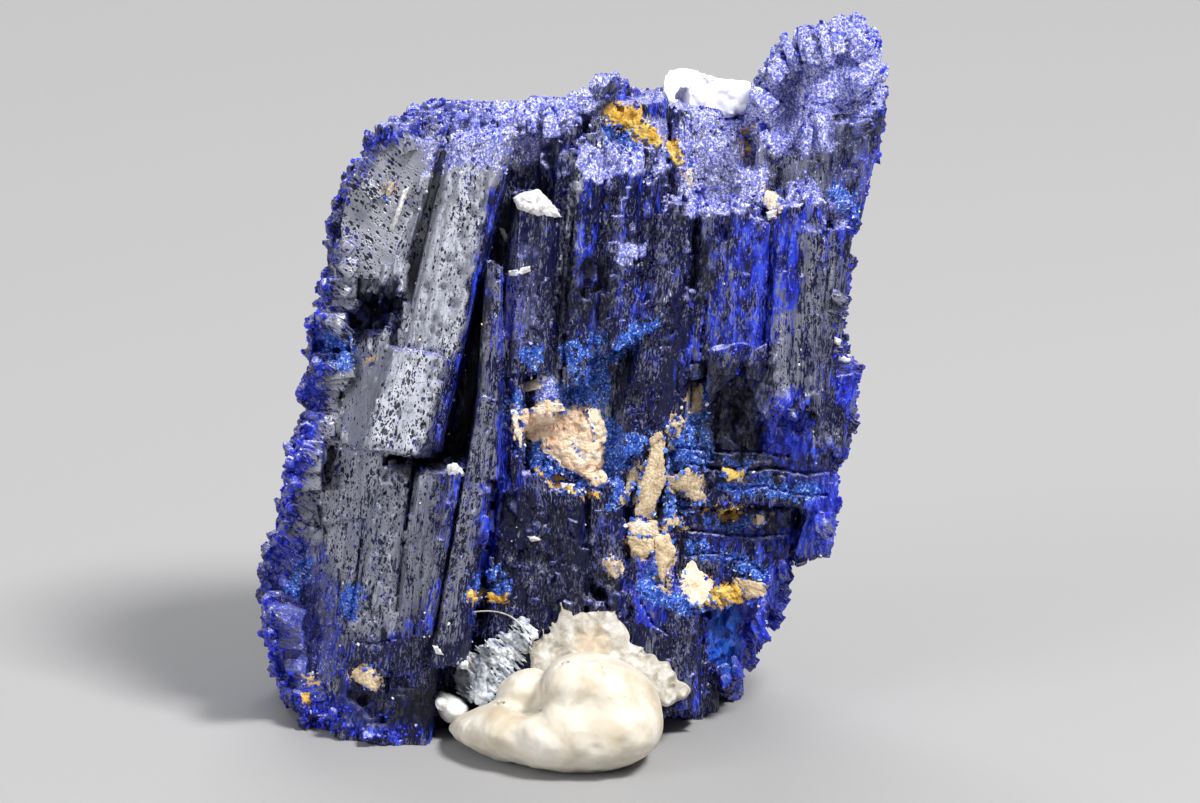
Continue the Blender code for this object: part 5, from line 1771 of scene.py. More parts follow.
def druse_material(name, ramp, rough=0.16):
    m = Nodes(name)
    tone, lift, _ = m.split(m.attr("tone"))
    g = m.add("ShaderNodeNewGeometry")
    p = m.add("ShaderNodeVectorMath", operation="SCALE")
    m.put(p.inputs[0], g.outputs["Position"])
    p.inputs["Scale"].default_value = 1.0 / UNIT
    n = m.noise(p.outputs[0], 0.35, 3.0, 0.65)
    col = m.ramp(m.math("MULTIPLY_ADD", m.math("SUBTRACT", n, 0.5), 0.7, tone), ramp)
    # painted light: crystal tips lightened toward bright blue, as if light showed through their thin ends
    col = m.mix(m.step(lift, 0.55, 1.0, 0.0, 0.40), col, (0.20, 0.24, 0.85))
    m.bsdf.inputs["Specular IOR Level"].default_value = 0.35
    return m.finish(col, m.math("MULTIPLY_ADD", n, 0.25, rough), m.bump(n, 0.35, UNIT * 0.8), IOR=1.73)


AZURITE = azurite_material()
CREAM = rock_material("cream_matrix", [(0.25, (0.62, 0.42, 0.26)), (0.40, (0.88, 0.70, 0.48)),
                                       (0.55, (0.97, 0.86, 0.66)), (0.75, (0.98, 0.94, 0.84))], 0.45, 0.72, 2.4,
                      hollow_darkening=0.25)
PINK = rock_material("pink_matrix", [(0.26, (0.68, 0.40, 0.24)), (0.40, (0.92, 0.62, 0.42)),
                                     (0.54, (0.99, 0.78, 0.56)), (0.72, (1.00, 0.92, 0.76))], 0.45, 0.76, 2.4,
                     hollow_darkening=0.22)
TAN = rock_material("tan_matrix", [(0.25, (0.30, 0.20, 0.11)), (0.42, (0.60, 0.45, 0.28)),
                                   (0.58, (0.82, 0.66, 0.44)), (0.78, (0.92, 0.80, 0.60))], 0.42, 0.74, 2.2,
                    hollow_darkening=0.35)
OCHRE = rock_material("ochre_oxide", [(0.25, (0.40, 0.18, 0.015)), (0.42, (0.80, 0.44, 0.05)),
                                      (0.56, (0.96, 0.66, 0.15)), (0.76, (0.99, 0.84, 0.42))], 0.50, 0.84, 3.0,
                      hollow_darkening=0.25)
WHITE_M = rock_material("white_mineral", [(0.25, (0.58, 0.59, 0.66)), (0.42, (0.86, 0.86, 0.89)),
                                          (0.58, (0.95, 0.95, 0.96)), (0.80, (0.98, 0.98, 0.97))], 0.25, 0.42, 2.0)
WHITE_BRIGHT = rock_material("white_block", [(0.25, (0.86, 0.86, 0.88)), (0.42, (0.93, 0.93, 0.94)),
                                            (0.58, (0.97, 0.97, 0.97)), (0.80, (0.99, 0.99, 0.98))], 0.10, 0.40, 1.2,
                             hollow_darkening=0.06)
DRUSE_BLUE = druse_material("druse_blue", [(0.0, (0.0030, 0.0045, 0.05)), (0.35, (0.0060, 0.0100, 0.22)),
                                           (0.65, (0.012, 0.024, 0.60)), (1.0, (0.030, 0.055, 0.95))])
# pale druse: its colour ramp runs to white, which is painted glints
DRUSE_PALE_GLINT = druse_material("druse_pale", [(0.0, (0.006, 0.008, 0.08)), (0.30, (0.015, 0.022, 0.34)),
                                           (0.60, (0.13, 0.16, 0.70)), (1.0, (0.90, 0.90, 1.00))])
# azure druse: the white at the end of its colour ramp is painted glints
DRUSE_AZURE_GLINT = druse_material("druse_azure", [(0.0, (0.003, 0.010, 0.09)), (0.35, (0.010, 0.045, 0.36)),
                                             (0.70, (0.030, 0.130, 0.70)), (0.90, (0.16, 0.36, 0.88)),
                                             (1.0, (0.95, 0.96, 0.98))], 0.24)


def wear(ob, mat, slot="azurite", node="azurite_cluster"):
    co = read_verts(ob.data)
    if co[:, 2].min() < 0:
        co[:, 2] = np.maximum(co[:, 2], 0.0)
        ob.data.vertices.foreach_set("co", np.ascontiguousarray(co, np.float32).ravel())
        ob.data.update()
    ob.data.validate()
    ob.data.materials.append(mat)
    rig.ride(ob, "root")
    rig.slot(ob, slot)
    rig.replaces(ob, node)
    return ob


for ob in blades:
    wear(ob, AZURITE)


# ------------------------------------------------------------------ small crystals grown on the surface
def spikes(name, at, axis, width, length, flat, tone, mat, rng):
    """Closed little blocky crystals, one per point: a four-sided prism with a bevelled, uneven tip."""
    n = len(at)
    axis = axis / np.linalg.norm(axis, axis=1)[:, None]
    ref = rng.randn(n, 3)
    x = np.cross(axis, ref)
    x /= np.linalg.norm(x, axis=1)[:, None]
    y = np.cross(axis, x)
    rows = []
    for z, sc in ((-0.45, 0.95), (0.58, 1.0), (1.0, 0.42)):
        for cx, cy in ((-1, -1), (1, -1), (1, 1), (-1, 1)):
            j = 1.0 + (rng.rand(n) - 0.5) * 0.35
            zz = z + (rng.rand(n) - 0.5) * (0.20 if z > 0 else 0.0)
            rows.append(at + x * (width * 0.5 * sc * cx * j)[:, None] + y * (width * flat * 0.5 * sc * cy * j)[:, None]
                        + axis * (length * zz)[:, None])
    verts = np.stack(rows, 1).reshape(-1, 3)
    quad = [(3, 2, 1, 0), (8, 9, 10, 11)]
    for k in range(4):
        m = (k + 1) % 4
        quad += [(k, m, 4 + m, 4 + k), (4 + k, 4 + m, 8 + m, 8 + k)]
    quad = np.array(quad)
    faces = (np.arange(n)[:, None, None] * 12 + quad[None]).reshape(-1, 4)
    tri = np.concatenate([faces[:, (0, 1, 2)], faces[:, (0, 2, 3)]])
    me = mesh_from(name, to_world(verts), tri)
    att = me.attributes.new("tone", "FLOAT_VECTOR", "POINT")
    # lift runs from foot to tip; the druse finishes use it for painted light at the tips
    lift = np.tile(np.repeat([0.0, 0.35, 1.0], 4), n) * np.repeat(rng.rand(n), 12)
    tv = np.stack([np.repeat(tone, 12), lift, np.zeros(n * 12)], 1)
    att.data.foreach_set("vector", tv.astype(np.float32).ravel())
    me.shade_flat()
    ob = add_object(name, me)
    return wear(ob, mat)


SP = np.concatenate([a for a, b in SKIN])
SN = np.concatenate([b for a, b in SKIN])
RNG = np.random.RandomState(23)
pick = RNG.choice(len(SP), min(len(SP), 150000), replace=False)
pick.sort()
SP, SN = SP[pick], SN[pick]
SU, SV, SD = unplace(SP)
FRONT = (SN @ SIGHT_DIR) < 0.30


def near_line(points, u, v):
    best = np.full(len(u), 1e9)
    for (x0, y0), (x1, y1) in zip(points, points[1:]):
        dx, dy = x1 - x0, y1 - y0
        t = np.clip(((u - x0) * dx + (v - y0) * dy) / (dx * dx + dy * dy), 0, 1)
        best = np.minimum(best, (u - x0 - t * dx) ** 2 + (v - y0 - t * dy) ** 2)
    return np.sqrt(best)


def scatter(name, weight, count, width, length, mat, lean=0.55, up=0.25, flat=(0.45, 0.9), tone=(0.15, 0.95),
            sink=0.0, seed=1):
    rng = np.random.RandomState(seed)
    w = np.maximum(weight, 0)
    if w.sum() <= 0:
        return None
    count = min(count, int((w > 0).sum() * 0.6))
    i = rng.choice(len(SP), count, replace=False, p=w / w.sum())
    n = len(i)
    size = rng.rand(n) ** 1.8
    wd = width[0] + (width[1] - width[0]) * size
    lg = (length[0] + (length[1] - length[0]) * size) * (0.7 + 0.6 * rng.rand(n))
    axis = SN[i] + rng.randn(n, 3) * lean * 0.6 + UP * up
    fl = flat[0] + (flat[1] - flat[0]) * rng.rand(n)
    tn = tone[0] + (tone[1] - tone[0]) * np.clip(0.5 + 0.9 * (n3(SP[i], 26.0, 41) - 0.5)
                                                 + 0.5 * (rng.rand(n) - 0.5), 0, 1)
    at = SP[i] - SN[i] * (sink + 0.10 * lg)[:, None]
    at[:, 2] = np.maximum(at[:, 2], 1.5 + 0.7 * lg)
    return spikes(name, at, axis, wd, lg, fl, tn, mat, rng)


def region(layers, base=0.0, who=None):
    value = np.full(len(SP), base)
    return paint(value, layers, SU, SV, FRONT if who is None else who)


left_line = near_line(LEFT_EDGE, SU, SV)
reach = np.where(SV > 525, 26.0, 13.0)
left_w = np.clip(1.15 - left_line / reach, 0, 1) * (SU < 480) * np.clip(2.2 * n3(SP, 22.0, 51) - 0.5, 0.05, 1)
side_left = (SN[:, 0] < -0.35) & (SU < 470) & (~FRONT)
left_w = np.maximum(left_w, side_left * np.clip(n3(SP, 34.0, 52) * 2.0 - 0.95, 0, 1))
scatter("druse_left", left_w * (SV < 738), 2100, (2.0, 5.4), (1.4, 3.4), DRUSE_BLUE, seed=3, sink=0.3)

RIGHT_RIM = [(888, 88), (880, 130), (872, 180), (852, 212), (852, 250), (846, 300), (838, 335), (856, 365),
             (856, 410), (846, 450), (830, 470), (838, 490), (834, 530), (815, 552), (790, 562), (777, 600),
             (765, 640), (752, 680), (715, 712)]
right_line = near_line(RIGHT_RIM, SU, SV)
right_w = np.clip(1.1 - right_line / 9.0, 0, 1) * (SU > 690) * np.clip(2.2 * n3(SP, 22.0, 53) - 0.5, 0.05, 1)
side_right = (SN[:, 0] > 0.35) & (SU > 690)
right_w = np.maximum(right_w, side_right * np.clip(n3(SP, 34.0, 54) * 2.0 - 1.0, 0, 1))
right_w = np.maximum(right_w, region([(1.0, 5, [(765, 392), (802, 388), (812, 425), (800, 452), (765, 452)]),
                                      (1.0, 4, [(832, 356), (860, 358), (860, 410), (836, 410)])]))
scatter("druse_right", right_w, 1300, (2.0, 5.0), (1.4, 3.4), DRUSE_BLUE, seed=4, sink=0.3)

# pale druse where the painted sparkle highlights lie and on faces turned upwards
top_w = region([(v, so, p) for v, so, p in PAINTED_SPARKLE[:14]])
top_w = np.clip(top_w, 0, 1) * (0.25 + np.clip(SN[:, 2], 0, 1) * 1.2)
top_w = np.maximum(top_w, (~FRONT) * np.clip(SN[:, 2] * 1.3 - 0.25, 0, 1) * (SV < 260) * 0.5)
scatter("druse_top", top_w, 2700, (1.8, 4.2), (1.2, 3.0), DRUSE_PALE_GLINT, lean=0.9, up=0.4, tone=(0.0, 1.0), seed=5)

az = np.full(len(SP), -30.0)
for poly in AZURE:
    q = np.array(poly, float)
    k = np.flatnonzero(FRONT & (SU > q[:, 0].min() - 5) & (SU < q[:, 0].max() + 5) & (SV > q[:, 1].min() - 5)
                       & (SV < q[:, 1].max() + 5))
    az[k] = np.maximum(az[k], inside_by(poly, SU[k], SV[k]))
az = np.minimum(az, 5.0) + (n3(SP, 24.0, 36) - 0.45) * 14.0 + (n3(SP, 7.0, 55) - 0.5) * 14.0
az_back = (~FRONT) * ((n3(SP, 55.0, 27) + 0.4 * n3(SP, 17.0, 28) - 1.00) * 60.0)
az_w = np.clip(az / 3.0, 0, 1) + np.where(FRONT, 0, np.clip(az_back / 6.0, 0, 1)) * 0.6
scatter("druse_azure", az_w, 2600, (1.6, 3.6), (1.4, 3.2), DRUSE_AZURE_GLINT, lean=1.0, up=0.1, tone=(0.05, 1.0), seed=6)

back_w = (~FRONT) * np.clip(n3(SP, 42.0, 61) * 2.0 - 0.95, 0, 1) * (SP[:, 1] > 40)
scatter("druse_back", back_w, 1300, (2.6, 6.4), (2.2, 5.4), DRUSE_BLUE, seed=7)


scatter("specks_pale", np.where(FRONT, 1.0, 0.8) * np.clip(2 * n3(SP, 30.0, 63) - 0.6, 0, 1), 150, (1.4, 3.2),
        (1.2, 2.6), CREAM, lean=1.0, up=0.0, seed=8)
scatter("specks_white", np.where(FRONT, 1.0, 0.8) * np.clip(2 * n3(SP, 26.0, 64) - 0.6, 0, 1), 220, (1.2, 3.0),
        (1.2, 2.4), WHITE_M, lean=1.0, up=0.0, seed=9)


# ------------------------------------------------------------------ soft solids on a small grid of their own
class Soft:
    def __init__(self, lo, hi, h):
        self.lo, self.h = np.array(lo, float), h
        self.dims = np.ceil((np.array(hi, float) - self.lo) / h).astype(int) + 1
        self.x = [self.lo[a] + h * np.arange(self.dims[a]) for a in range(3)]
        self.f = np.full(self.dims, 12.0, np.float32)

    def cut(self, lo, hi):
        i0 = np.clip(np.floor((lo - self.lo) / self.h).astype(int), 0, self.dims - 1)
        i1 = np.clip(np.ceil((hi - self.lo) / self.h).astype(int) + 1, 1, self.dims)
        sl = tuple(slice(a, b) for a, b in zip(i0, i1))
        return sl, [self.x[a][sl[a]] for a in range(3)]

    def blob(self, c, radii, axes=None, k=1.5, carve=False):
        axes = np.stack([RIGHT, UP, SIGHT_DIR]) if axes is None else np.asarray(axes, float)
        radii = np.asarray(radii, float)
        reach = np.sqrt(((axes * radii[:, None]) ** 2).sum(0)) + k + 2 * self.h
        sl, (x, y, z) = self.cut(c - reach, c + reach)
        if 0 in (len(x), len(y), len(z)):
            return
        q = 0.0
        for ax, r in zip(axes, radii):
            t = (ax[0] * (x - c[0]))[:, None, None] + (ax[1] * (y - c[1]))[None, :, None] \
                + (ax[2] * (z - c[2]))[None, None, :]
            q = q + (t / r) ** 2
        sd = (np.sqrt(q) - 1.0) * radii.min()
        f = self.f[sl]
        if carve:
            f[...] = np.maximum(f, -sd)
            return
        hh = np.clip(k - np.abs(f - sd), 0, None)
        f[...] = np.minimum(f, sd) - hh * hh / (4 * k)

    def tube(self, a, b, ra, rb, k=0.8):
        lo, hi = np.minimum(a, b) - ra - k - 2 * self.h, np.maximum(a, b) + ra + k + 2 * self.h
        sl, (x, y, z) = self.cut(lo, hi)
        if 0 in (len(x), len(y), len(z)):
            return
        d = b - a
        dd = max(float(d @ d), 1e-6)
        px, py, pz = (x - a[0])[:, None, None], (y - a[1])[None, :, None], (z - a[2])[None, None, :]
        t = np.clip((px * d[0] + py * d[1] + pz * d[2]) / dd, 0, 1)
        sd = np.sqrt((px - t * d[0]) ** 2 + (py - t * d[1]) ** 2 + (pz - t * d[2]) ** 2) - (ra + (rb - ra) * t)
        f = self.f[sl]
        hh = np.clip(k - np.abs(f - sd), 0, None)
        f[...] = np.minimum(f, sd) - hh * hh / (4 * k)

    def rough(self, scale, amp, seed, band=5.0, stretch=(1.0, 1.0, 1.0)):
        near = np.flatnonzero(np.abs(self.f.ravel()) < band)
        i, j, k = np.unravel_index(near, self.f.shape)
        p = np.stack((self.x[0][i], self.x[1][j], self.x[2][k]), 1) * stretch
        self.f.ravel()[near] += ((n3(p, scale, seed) - 0.5) * 2 * amp).astype(np.float32)

    def solid(self, name, mat, slot="azurite", node="azurite_cluster", budget=60000, angle=60):
        f = self.f
        for a in range(3):
            sl = [slice(None)] * 3
            for end in (0, -1):
                sl[a] = end
                f[tuple(sl)] = np.maximum(f[tuple(sl)], 0.5)
        verts, quads = surface(f, self.lo, self.h)
        ob = add_object(name, mesh_from(name, to_world(verts), quads))
        decimated(ob, budget)
        ob.data.shade_smooth()
        ob.data.set_sharp_from_angle(angle=math.radians(angle))
        return wear(ob, mat, slot, node)


def patch_points(poly, spacing, rng, jitter=0.35, edge=1.0):
    q = np.array(poly, float)
    us = np.arange(q[:, 0].min(), q[:, 0].max() + spacing, spacing)
    vs = np.arange(q[:, 1].min(), q[:, 1].max() + spacing, spacing)
    u, v = [a.ravel() for a in np.meshgrid(us, vs)]
    u = u + (rng.rand(len(u)) - 0.5) * 2 * jitter * spacing
    v = v + (rng.rand(len(v)) - 0.5) * 2 * jitter * spacing
    ins = inside_by(poly, u, v)
    k = ins > edge
    return u[k], v[k], ins[k]


def patches(name, polys, mat, spacing=3.4, thick=5.0, rmax=6.5, grain=1.0, h=1.2, lift=0.55, level=40, seed=1,
            node="azurite_cluster", slot="azurite", k=1.2, fringe=0):
    """A rough crust of one mineral that follows the cluster's front surface inside drawn outlines."""
    rng = np.random.RandomState(seed)
    blobs = []
    for poly in polys:
        u, v, ins = patch_points(poly, spacing, rng, edge=-2.0)
        at = np.stack((u, v, np.zeros(len(u))), 1)
        ins = ins + (n3(at, 8.0, seed + 3) - 0.5) * 5.0 + (n3(at, 3.2, seed + 4) - 0.5) * 3.0
        keep = (ins > 1.6) & (n3(at, 9.0, seed + 5) + 0.02 * ins > 0.33)
        u, v, ins = u[keep], v[keep], ins[keep]
        if not len(u):
            continue
        d = sight_depth(u, v)
        ok = ~np.isnan(d)
        u, v, ins, d = u[ok], v[ok], ins[ok], d[ok]
        if not len(u):
            continue
        near = np.hypot(u[:, None] - u[None], v[:, None] - v[None]) < 11.0
        base = np.array([np.percentile(d[row], level) for row in near])
        d = np.where(np.abs(d - base) < 9, 0.3 * d + 0.7 * base, base)
        for uu, vv, ii, dd in zip(u, v, ins, d):
            r = min(ii * 0.8 + 0.9, rmax) * (0.60 + 0.60 * rng.rand())
            th = min(thick, 0.9 + 0.55 * ii) * (0.5 + 0.8 * rng.rand())
            blobs.append((place(uu, vv, dd + th * (1 - 2 * lift)), (r, r, th)))
    c = np.array([b[0] for b in blobs])
    soft = Soft(c.min(0) - rmax - 5, c.max(0) + rmax + 5, h)
    for c, r in blobs:
        soft.blob(c, r, k=k)
    soft.rough(5.5, 1.0 * grain, seed + 60)
    soft.rough(2.4, 0.75 * grain, seed + 61)
    ob = soft.solid(name, mat, slot, node, budget=14000, angle=38)
    if fringe:
        p = read_verts(ob.data) / UNIT + ORIGIN
        nv = np.empty(len(ob.data.vertices) * 3, np.float32)
        ob.data.vertex_normals.foreach_get("vector", nv)
        nv = nv.reshape(-1, 3).astype(float)
        u, v, _d = unplace(p)
        ins = np.max([inside_by(poly, u, v) for poly in polys], 0)
        k = np.flatnonzero((nv @ SIGHT_DIR < -0.1) & (ins + (n3(p, 8.0, seed + 9) - 0.5) * 7.0 < 0.8))
        if len(k) > fringe * 1.5:
            k = rng.choice(k, fringe, replace=False)
            q = rng.rand(len(k))
            spikes(name + "_fringe", p[k] + nv[k] * 0.4, nv[k] + rng.randn(len(k), 3) * 0.6, 1.5 + 2.2 * q ** 2,
                   1.5 + 2.0 * rng.rand(len(k)), 0.5 + 0.4 * rng.rand(len(k)), 0.1 + 0.9 * rng.rand(len(k)),
                   DRUSE_AZURE_GLINT, rng)
    return ob


patches("matrix_pocket", ROCK_PINK, PINK, spacing=2.6, thick=4.2, rmax=4.4, grain=1.3, h=1.05, lift=0.36, level=25, seed=11, fringe=300)


def plates(name, polys, mat, seed, fringe=0, rise=1.0):
    """Worn crusts with clean broken outlines, laid on the slope of the surface under each."""
    rng = np.random.RandomState(seed)
    verts, tris, rim, lean = [], [], [], []
    for poly in polys:
        q = np.array(poly, float)
        pu, pv, _i = patch_points(poly, 2.2, rng, edge=0.2)
        d = sight_depth(pu, pv)
        ok = ~np.isnan(d)
        if ok.sum() < 4:
            continue
        mu, mv = q.mean(0)
        A = np.stack((np.ones(len(pu)), pu - mu, pv - mv), 1)
        sel = ok.copy()
        for _ in range(4):
            coef = np.linalg.lstsq(A[sel], d[sel], rcond=None)[0]
            coef[1:] = np.clip(coef[1:], -0.9, 0.9)
            res = d - A @ coef
            sel = ok & (res < np.percentile(res[ok], 65))
        coef[0] += np.percentile((d - A @ coef)[ok], 22)
        ring = []
        for p0, p1 in zip(q, np.roll(q, -1, axis=0)):
            n = max(1, int(round(np.hypot(*(p1 - p0)) / 1.8)))
            for i in range(n):
                ring.append(p0 + (p1 - p0) * i / n + rng.randn(2) * 0.45)
        ring = np.array(ring)
        mid = ring.mean(0)
        n, first = len(ring), sum(len(x) for x in verts)
        span = min(np.ptp(ring[:, 0]), np.ptp(ring[:, 1]))
        full = rise * min(0.16 * span + 1.0, 3.6)
        rings = []
        for scale, up in ((1.0, -9.0), (1.0, 0.2), (0.93, 0.62), (0.80, 0.85), (0.60, 0.95), (0.38, 1.0), (0.18, 1.0)):
            p = mid + (ring - mid) * scale
            if up > 0:
                p = p + rng.randn(n, 2) * 0.35 * scale
            lift = up if up < 0 else full * up
            pts = np.array([place(x, y, coef @ np.array([1.0, x - mu, y - mv]) - lift) for x, y in p])
            if up > 0:
                w = n3(pts, 6.0, seed + 3) * 2.2 + n3(pts, 2.6, seed + 4) * 0.9 - 1.5
                pts = pts - SIGHT_DIR * (w * min(1.0, full / 2.0))[:, None]
            rings.append(pts)
        top = rings[-1].mean(0) - SIGHT_DIR * 0.1
        low = rings[0].mean(0)
        verts.append(np.concatenate(rings + [np.array([top, low])]))
        rim.append(rings[1])
        out = ring - mid
        out /= np.maximum(np.linalg.norm(out, axis=1), 1e-6)[:, None]
        lean.append(-SIGHT_DIR + 0.8 * (out[:, :1] * RIGHT - out[:, 1:] * UP))
        k = len(rings)
        for r in range(k - 1):
            for i in range(n):
                j = (i + 1) % n
                x, y = first + r * n, first + (r + 1) * n
                tris += [(x + i, x + j, y + j), (x + i, y + j, y + i)]
        for i in range(n):
            j = (i + 1) % n
            tris += [(first + (k - 1) * n + i, first + (k - 1) * n + j, first + k * n),
                     (first + j, first + i, first + k * n + 1)]
    verts, tris = np.concatenate(verts), np.array(tris)
    x, y, z = (verts[tris[:, c]] for c in range(3))
    if (np.cross(y - x, z - x) * x).sum() < 0:
        tris = tris[:, ::-1]
    ob = add_object(name, mesh_from(name, to_world(verts), tris))
    ob.data.shade_smooth()
    ob.data.set_sharp_from_angle(angle=math.radians(34))
    wear(ob, mat)
    if fringe:
        rim, lean = np.concatenate(rim), np.concatenate(lean)
        k = np.flatnonzero(n3(rim, 9.0, seed + 9) > 0.46)
        k = k[rng.randint(0, len(k), fringe)]
        g = rng.rand(len(k))
        at = rim[k] + rng.randn(len(k), 3) * 1.3
        spikes(name + "_fringe", at, lean[k] + rng.randn(len(k), 3) * 0.5, 1.8 + 2.4 * g ** 2,
               1.6 + 2.0 * rng.rand(len(k)), 0.5 + 0.4 * rng.rand(len(k)), 0.1 + 0.9 * rng.rand(len(k)),
               DRUSE_AZURE_GLINT, rng)
    return ob


plates("matrix_cream", ROCK_CREAM0, CREAM, 12, fringe=150)
plates("matrix_tan", ROCK_TAN, TAN, 13, fringe=260)
patches("ochre", ROCK_OCHRE, OCHRE, spacing=2.1, thick=2.4, rmax=3.4, grain=1.2, h=1.0, lift=0.34, level=22, seed=14, fringe=120)


def chips(name, polys, mat, seed):
    """Small broken plates with cracked flat faces, each set on the surface under its drawn outline."""
    rng = np.random.RandomState(seed)
    verts, tris = [], []
    for poly in polys:
        q = np.array(poly, float)
        ring = []
        for a, b in zip(q, np.roll(q, -1, axis=0)):
            n = max(1, int(round(np.hypot(*(b - a)) / 2.2)))
            for i in range(n):
                ring.append(a + (b - a) * i / n + (rng.randn(2) * 0.35 if i else 0.0))
        ring = np.array(ring)
        mid = ring.mean(0)
        d = sight_depth(mid[0] + (ring[:, 0] - mid[0]) * 0.8, mid[1] + (ring[:, 1] - mid[1]) * 0.8)
        if np.all(np.isnan(d)):
            continue
        base = np.nanpercentile(d, 30)
        span = min(np.ptp(ring[:, 0]), np.ptp(ring[:, 1]))
        n, first = len(ring), sum(len(x) for x in verts)
        rings = []
        tilt = rng.randn(2) * 0.10
        for scale, rise, jit in ((1.0, -9.0, 0.0), (1.0, 0.4, 0.25), (0.84, 0.10 * span + 0.7, 0.35),
                                 (0.42, 0.14 * span + 0.9, 0.45)):
            p = mid + (ring - mid) * scale + (rng.randn(n, 2) * jit * 0.6)
            lift = rise + (np.abs(p - mid) * 0 + (p - mid) * tilt).sum(1) + rng.randn(n) * jit
            rings.append(np.array([place(a, b, base - c) for (a, b), c in zip(p, lift)]))
        top = place(mid[0], mid[1], base - 0.14 * span - 1.2)
        low = place(mid[0], mid[1], base + 9.0)
        verts.append(np.concatenate(rings + [np.array([top, low])]))
        for r in range(3):
            for i in range(n):
                j = (i + 1) % n
                a, b = first + r * n, first + (r + 1) * n
                tris += [(a + i, a + j, b + j), (a + i, b + j, b + i)]
        for i in range(n):
            j = (i + 1) % n
            tris += [(first + 3 * n + i, first + 3 * n + j, first + 4 * n), (first + j, first + i, first + 4 * n + 1)]
    verts, tris = np.concatenate(verts), np.array(tris)
    a, b, c = (verts[tris[:, k]] for k in range(3))
    if (np.cross(b - a, c - a) * a).sum() < 0:
        tris = tris[:, ::-1]
    ob = add_object(name, mesh_from(name, to_world(verts), tris))
    return wear(ob, mat)


chips("white_crusts", ROCK_WHITE, WHITE_M, 15)

# the white mineral behind the crest
lo = np.min([CRYSTALS[i].lo for i in WHITE_IDS], 0)
hi = np.max([CRYSTALS[i].hi for i in WHITE_IDS], 0)
WHITE_TOP = [(662, 90), (665, 76), (673, 69), (686, 69), (700, 73), (720, 80), (736, 81), (752, 83), (756, 112),
             (700, 122), (662, 118)]
mids = np.array([CRYSTALS[i].pts.mean(0) for i in WHITE_IDS])
mid_d = float(np.mean(unplace(mids)[2]))
soft = Soft(lo - 14, hi + 14, 1.5)
rng = np.random.RandomState(17)
u, v, ins = patch_points(WHITE_TOP, 5.0, rng, edge=1.5)
for uu, vv, ii in zip(u, v, ins):
    for off in (-16, -6, 5, 16):
        r = min(ii + 0.5, 9.0) * (0.85 + 0.3 * rng.rand())
        soft.blob(place(uu, vv, mid_d + off + 6 * (rng.rand() - 0.5)), (r, r, 9.0), k=1.6)
# flat cleavage facets
for _ in range(14):
    n = rng.randn(3)
    n /= np.linalg.norm(n)
    n[2] = abs(n[2])
    c = place(665 + 85 * rng.rand(), 76 + 30 * rng.rand(), mid_d + 30 * (rng.rand() - 0.5)) + n * (5 + 4 * rng.rand())
    x, y, z = soft.x
    plane = (n[0] * (x - c[0]))[:, None, None] + (n[1] * (y - c[1]))[None, :, None] + (n[2] * (z - c[2]))[None, None, :]
    near_c = ((x - c[0]) ** 2)[:, None, None] + ((y - c[1]) ** 2)[None, :, None] + ((z - c[2]) ** 2)[None, None, :]
    soft.f[...] = np.where(near_c < 15.0 ** 2, np.maximum(soft.f, plane), soft.f)
soft.rough(5.0, 0.7, 72, 6)
soft.rough(2.6, 0.35, 73, 6)
soft.solid("white_back", WHITE_BRIGHT, budget=14000, angle=35)


# ------------------------------------------------------------------ putty
def putty_material(name, ramp, sss, bump, patch=0.018, warm=None):
    m = Nodes(name)
    g = m.add("ShaderNodeNewGeometry")
    p = m.add("ShaderNodeVectorMath", operation="SCALE")
    m.put(p.inputs[0], g.outputs["Position"])
    p.inputs["Scale"].default_value = 1.0 / UNIT
    P = p.outputs[0]
    tone = m.noise(P, patch, 3.0, 0.55, 0.5)
    n = m.noise(P, 0.16, 4.0, 0.6)
    col = m.ramp(tone, ramp)
    tint = m.step(m.noise(P, 0.075, 2.0, 0.6, 1.2), 0.66, 0.76, 0.0, 0.55)
    col = m.mix(tint, col, (0.62, 0.42, 0.22))
    if warm is not None:
        away = m.add("ShaderNodeVectorMath", operation="DISTANCE")
        m.put(away.inputs[0], P)
        away.inputs[1].default_value = warm[0]
        near = m.step(m.math("MULTIPLY_ADD", m.math("SUBTRACT", n, 0.5), 40.0, away.outputs["Value"]),
                      warm[1], warm[1] * 0.5)
        col = m.mix(m.math("MULTIPLY", near, 0.85), col, m.mix(tone, (0.40, 0.29, 0.18), (0.70, 0.60, 0.46)))
    b = m.bsdf.inputs
    b["Subsurface Weight"].default_value = sss
    b["Subsurface Radius"].default_value = (1.0, 0.72, 0.5)
    b["Subsurface Scale"].default_value = 0.0006
    return m.finish(col, m.math("MULTIPLY_ADD", n, 0.25, 0.38), m.bump(n, bump, UNIT * 2.0), IOR=1.48)


PUTTY = putty_material("putty", [(0.30, (0.54, 0.46, 0.34)), (0.50, (0.70, 0.65, 0.55)), (0.70, (0.80, 0.77, 0.70))],
                       0.35, 0.25)
PUTTY_THIN = putty_material("putty_thin", [(0.32, (0.28, 0.25, 0.20)), (0.46, (0.44, 0.41, 0.35)),
                                           (0.58, (0.58, 0.56, 0.52)), (0.70, (0.70, 0.70, 0.70))], 0.12, 0.6, 0.075,
                            warm=(tuple(float(x) for x in place(588, 648, float(sight_depth([588.0], [648.0])[0]) - 6.0)
                                        - ORIGIN), 30.0))
PUTTY_FILM = putty_material("putty_film", [(0.30, (0.13, 0.14, 0.21)), (0.42, (0.38, 0.42, 0.50)),
                                           (0.53, (0.66, 0.69, 0.74)), (0.66, (0.84, 0.86, 0.88))], 0.20, 0.6, 0.14)
PUTTY_CHIP = putty_material("putty_chip", [(0.30, (0.60, 0.61, 0.62)), (0.50, (0.78, 0.78, 0.78)),
                                           (0.70, (0.88, 0.88, 0.87))], 0.35, 0.4, 0.10)
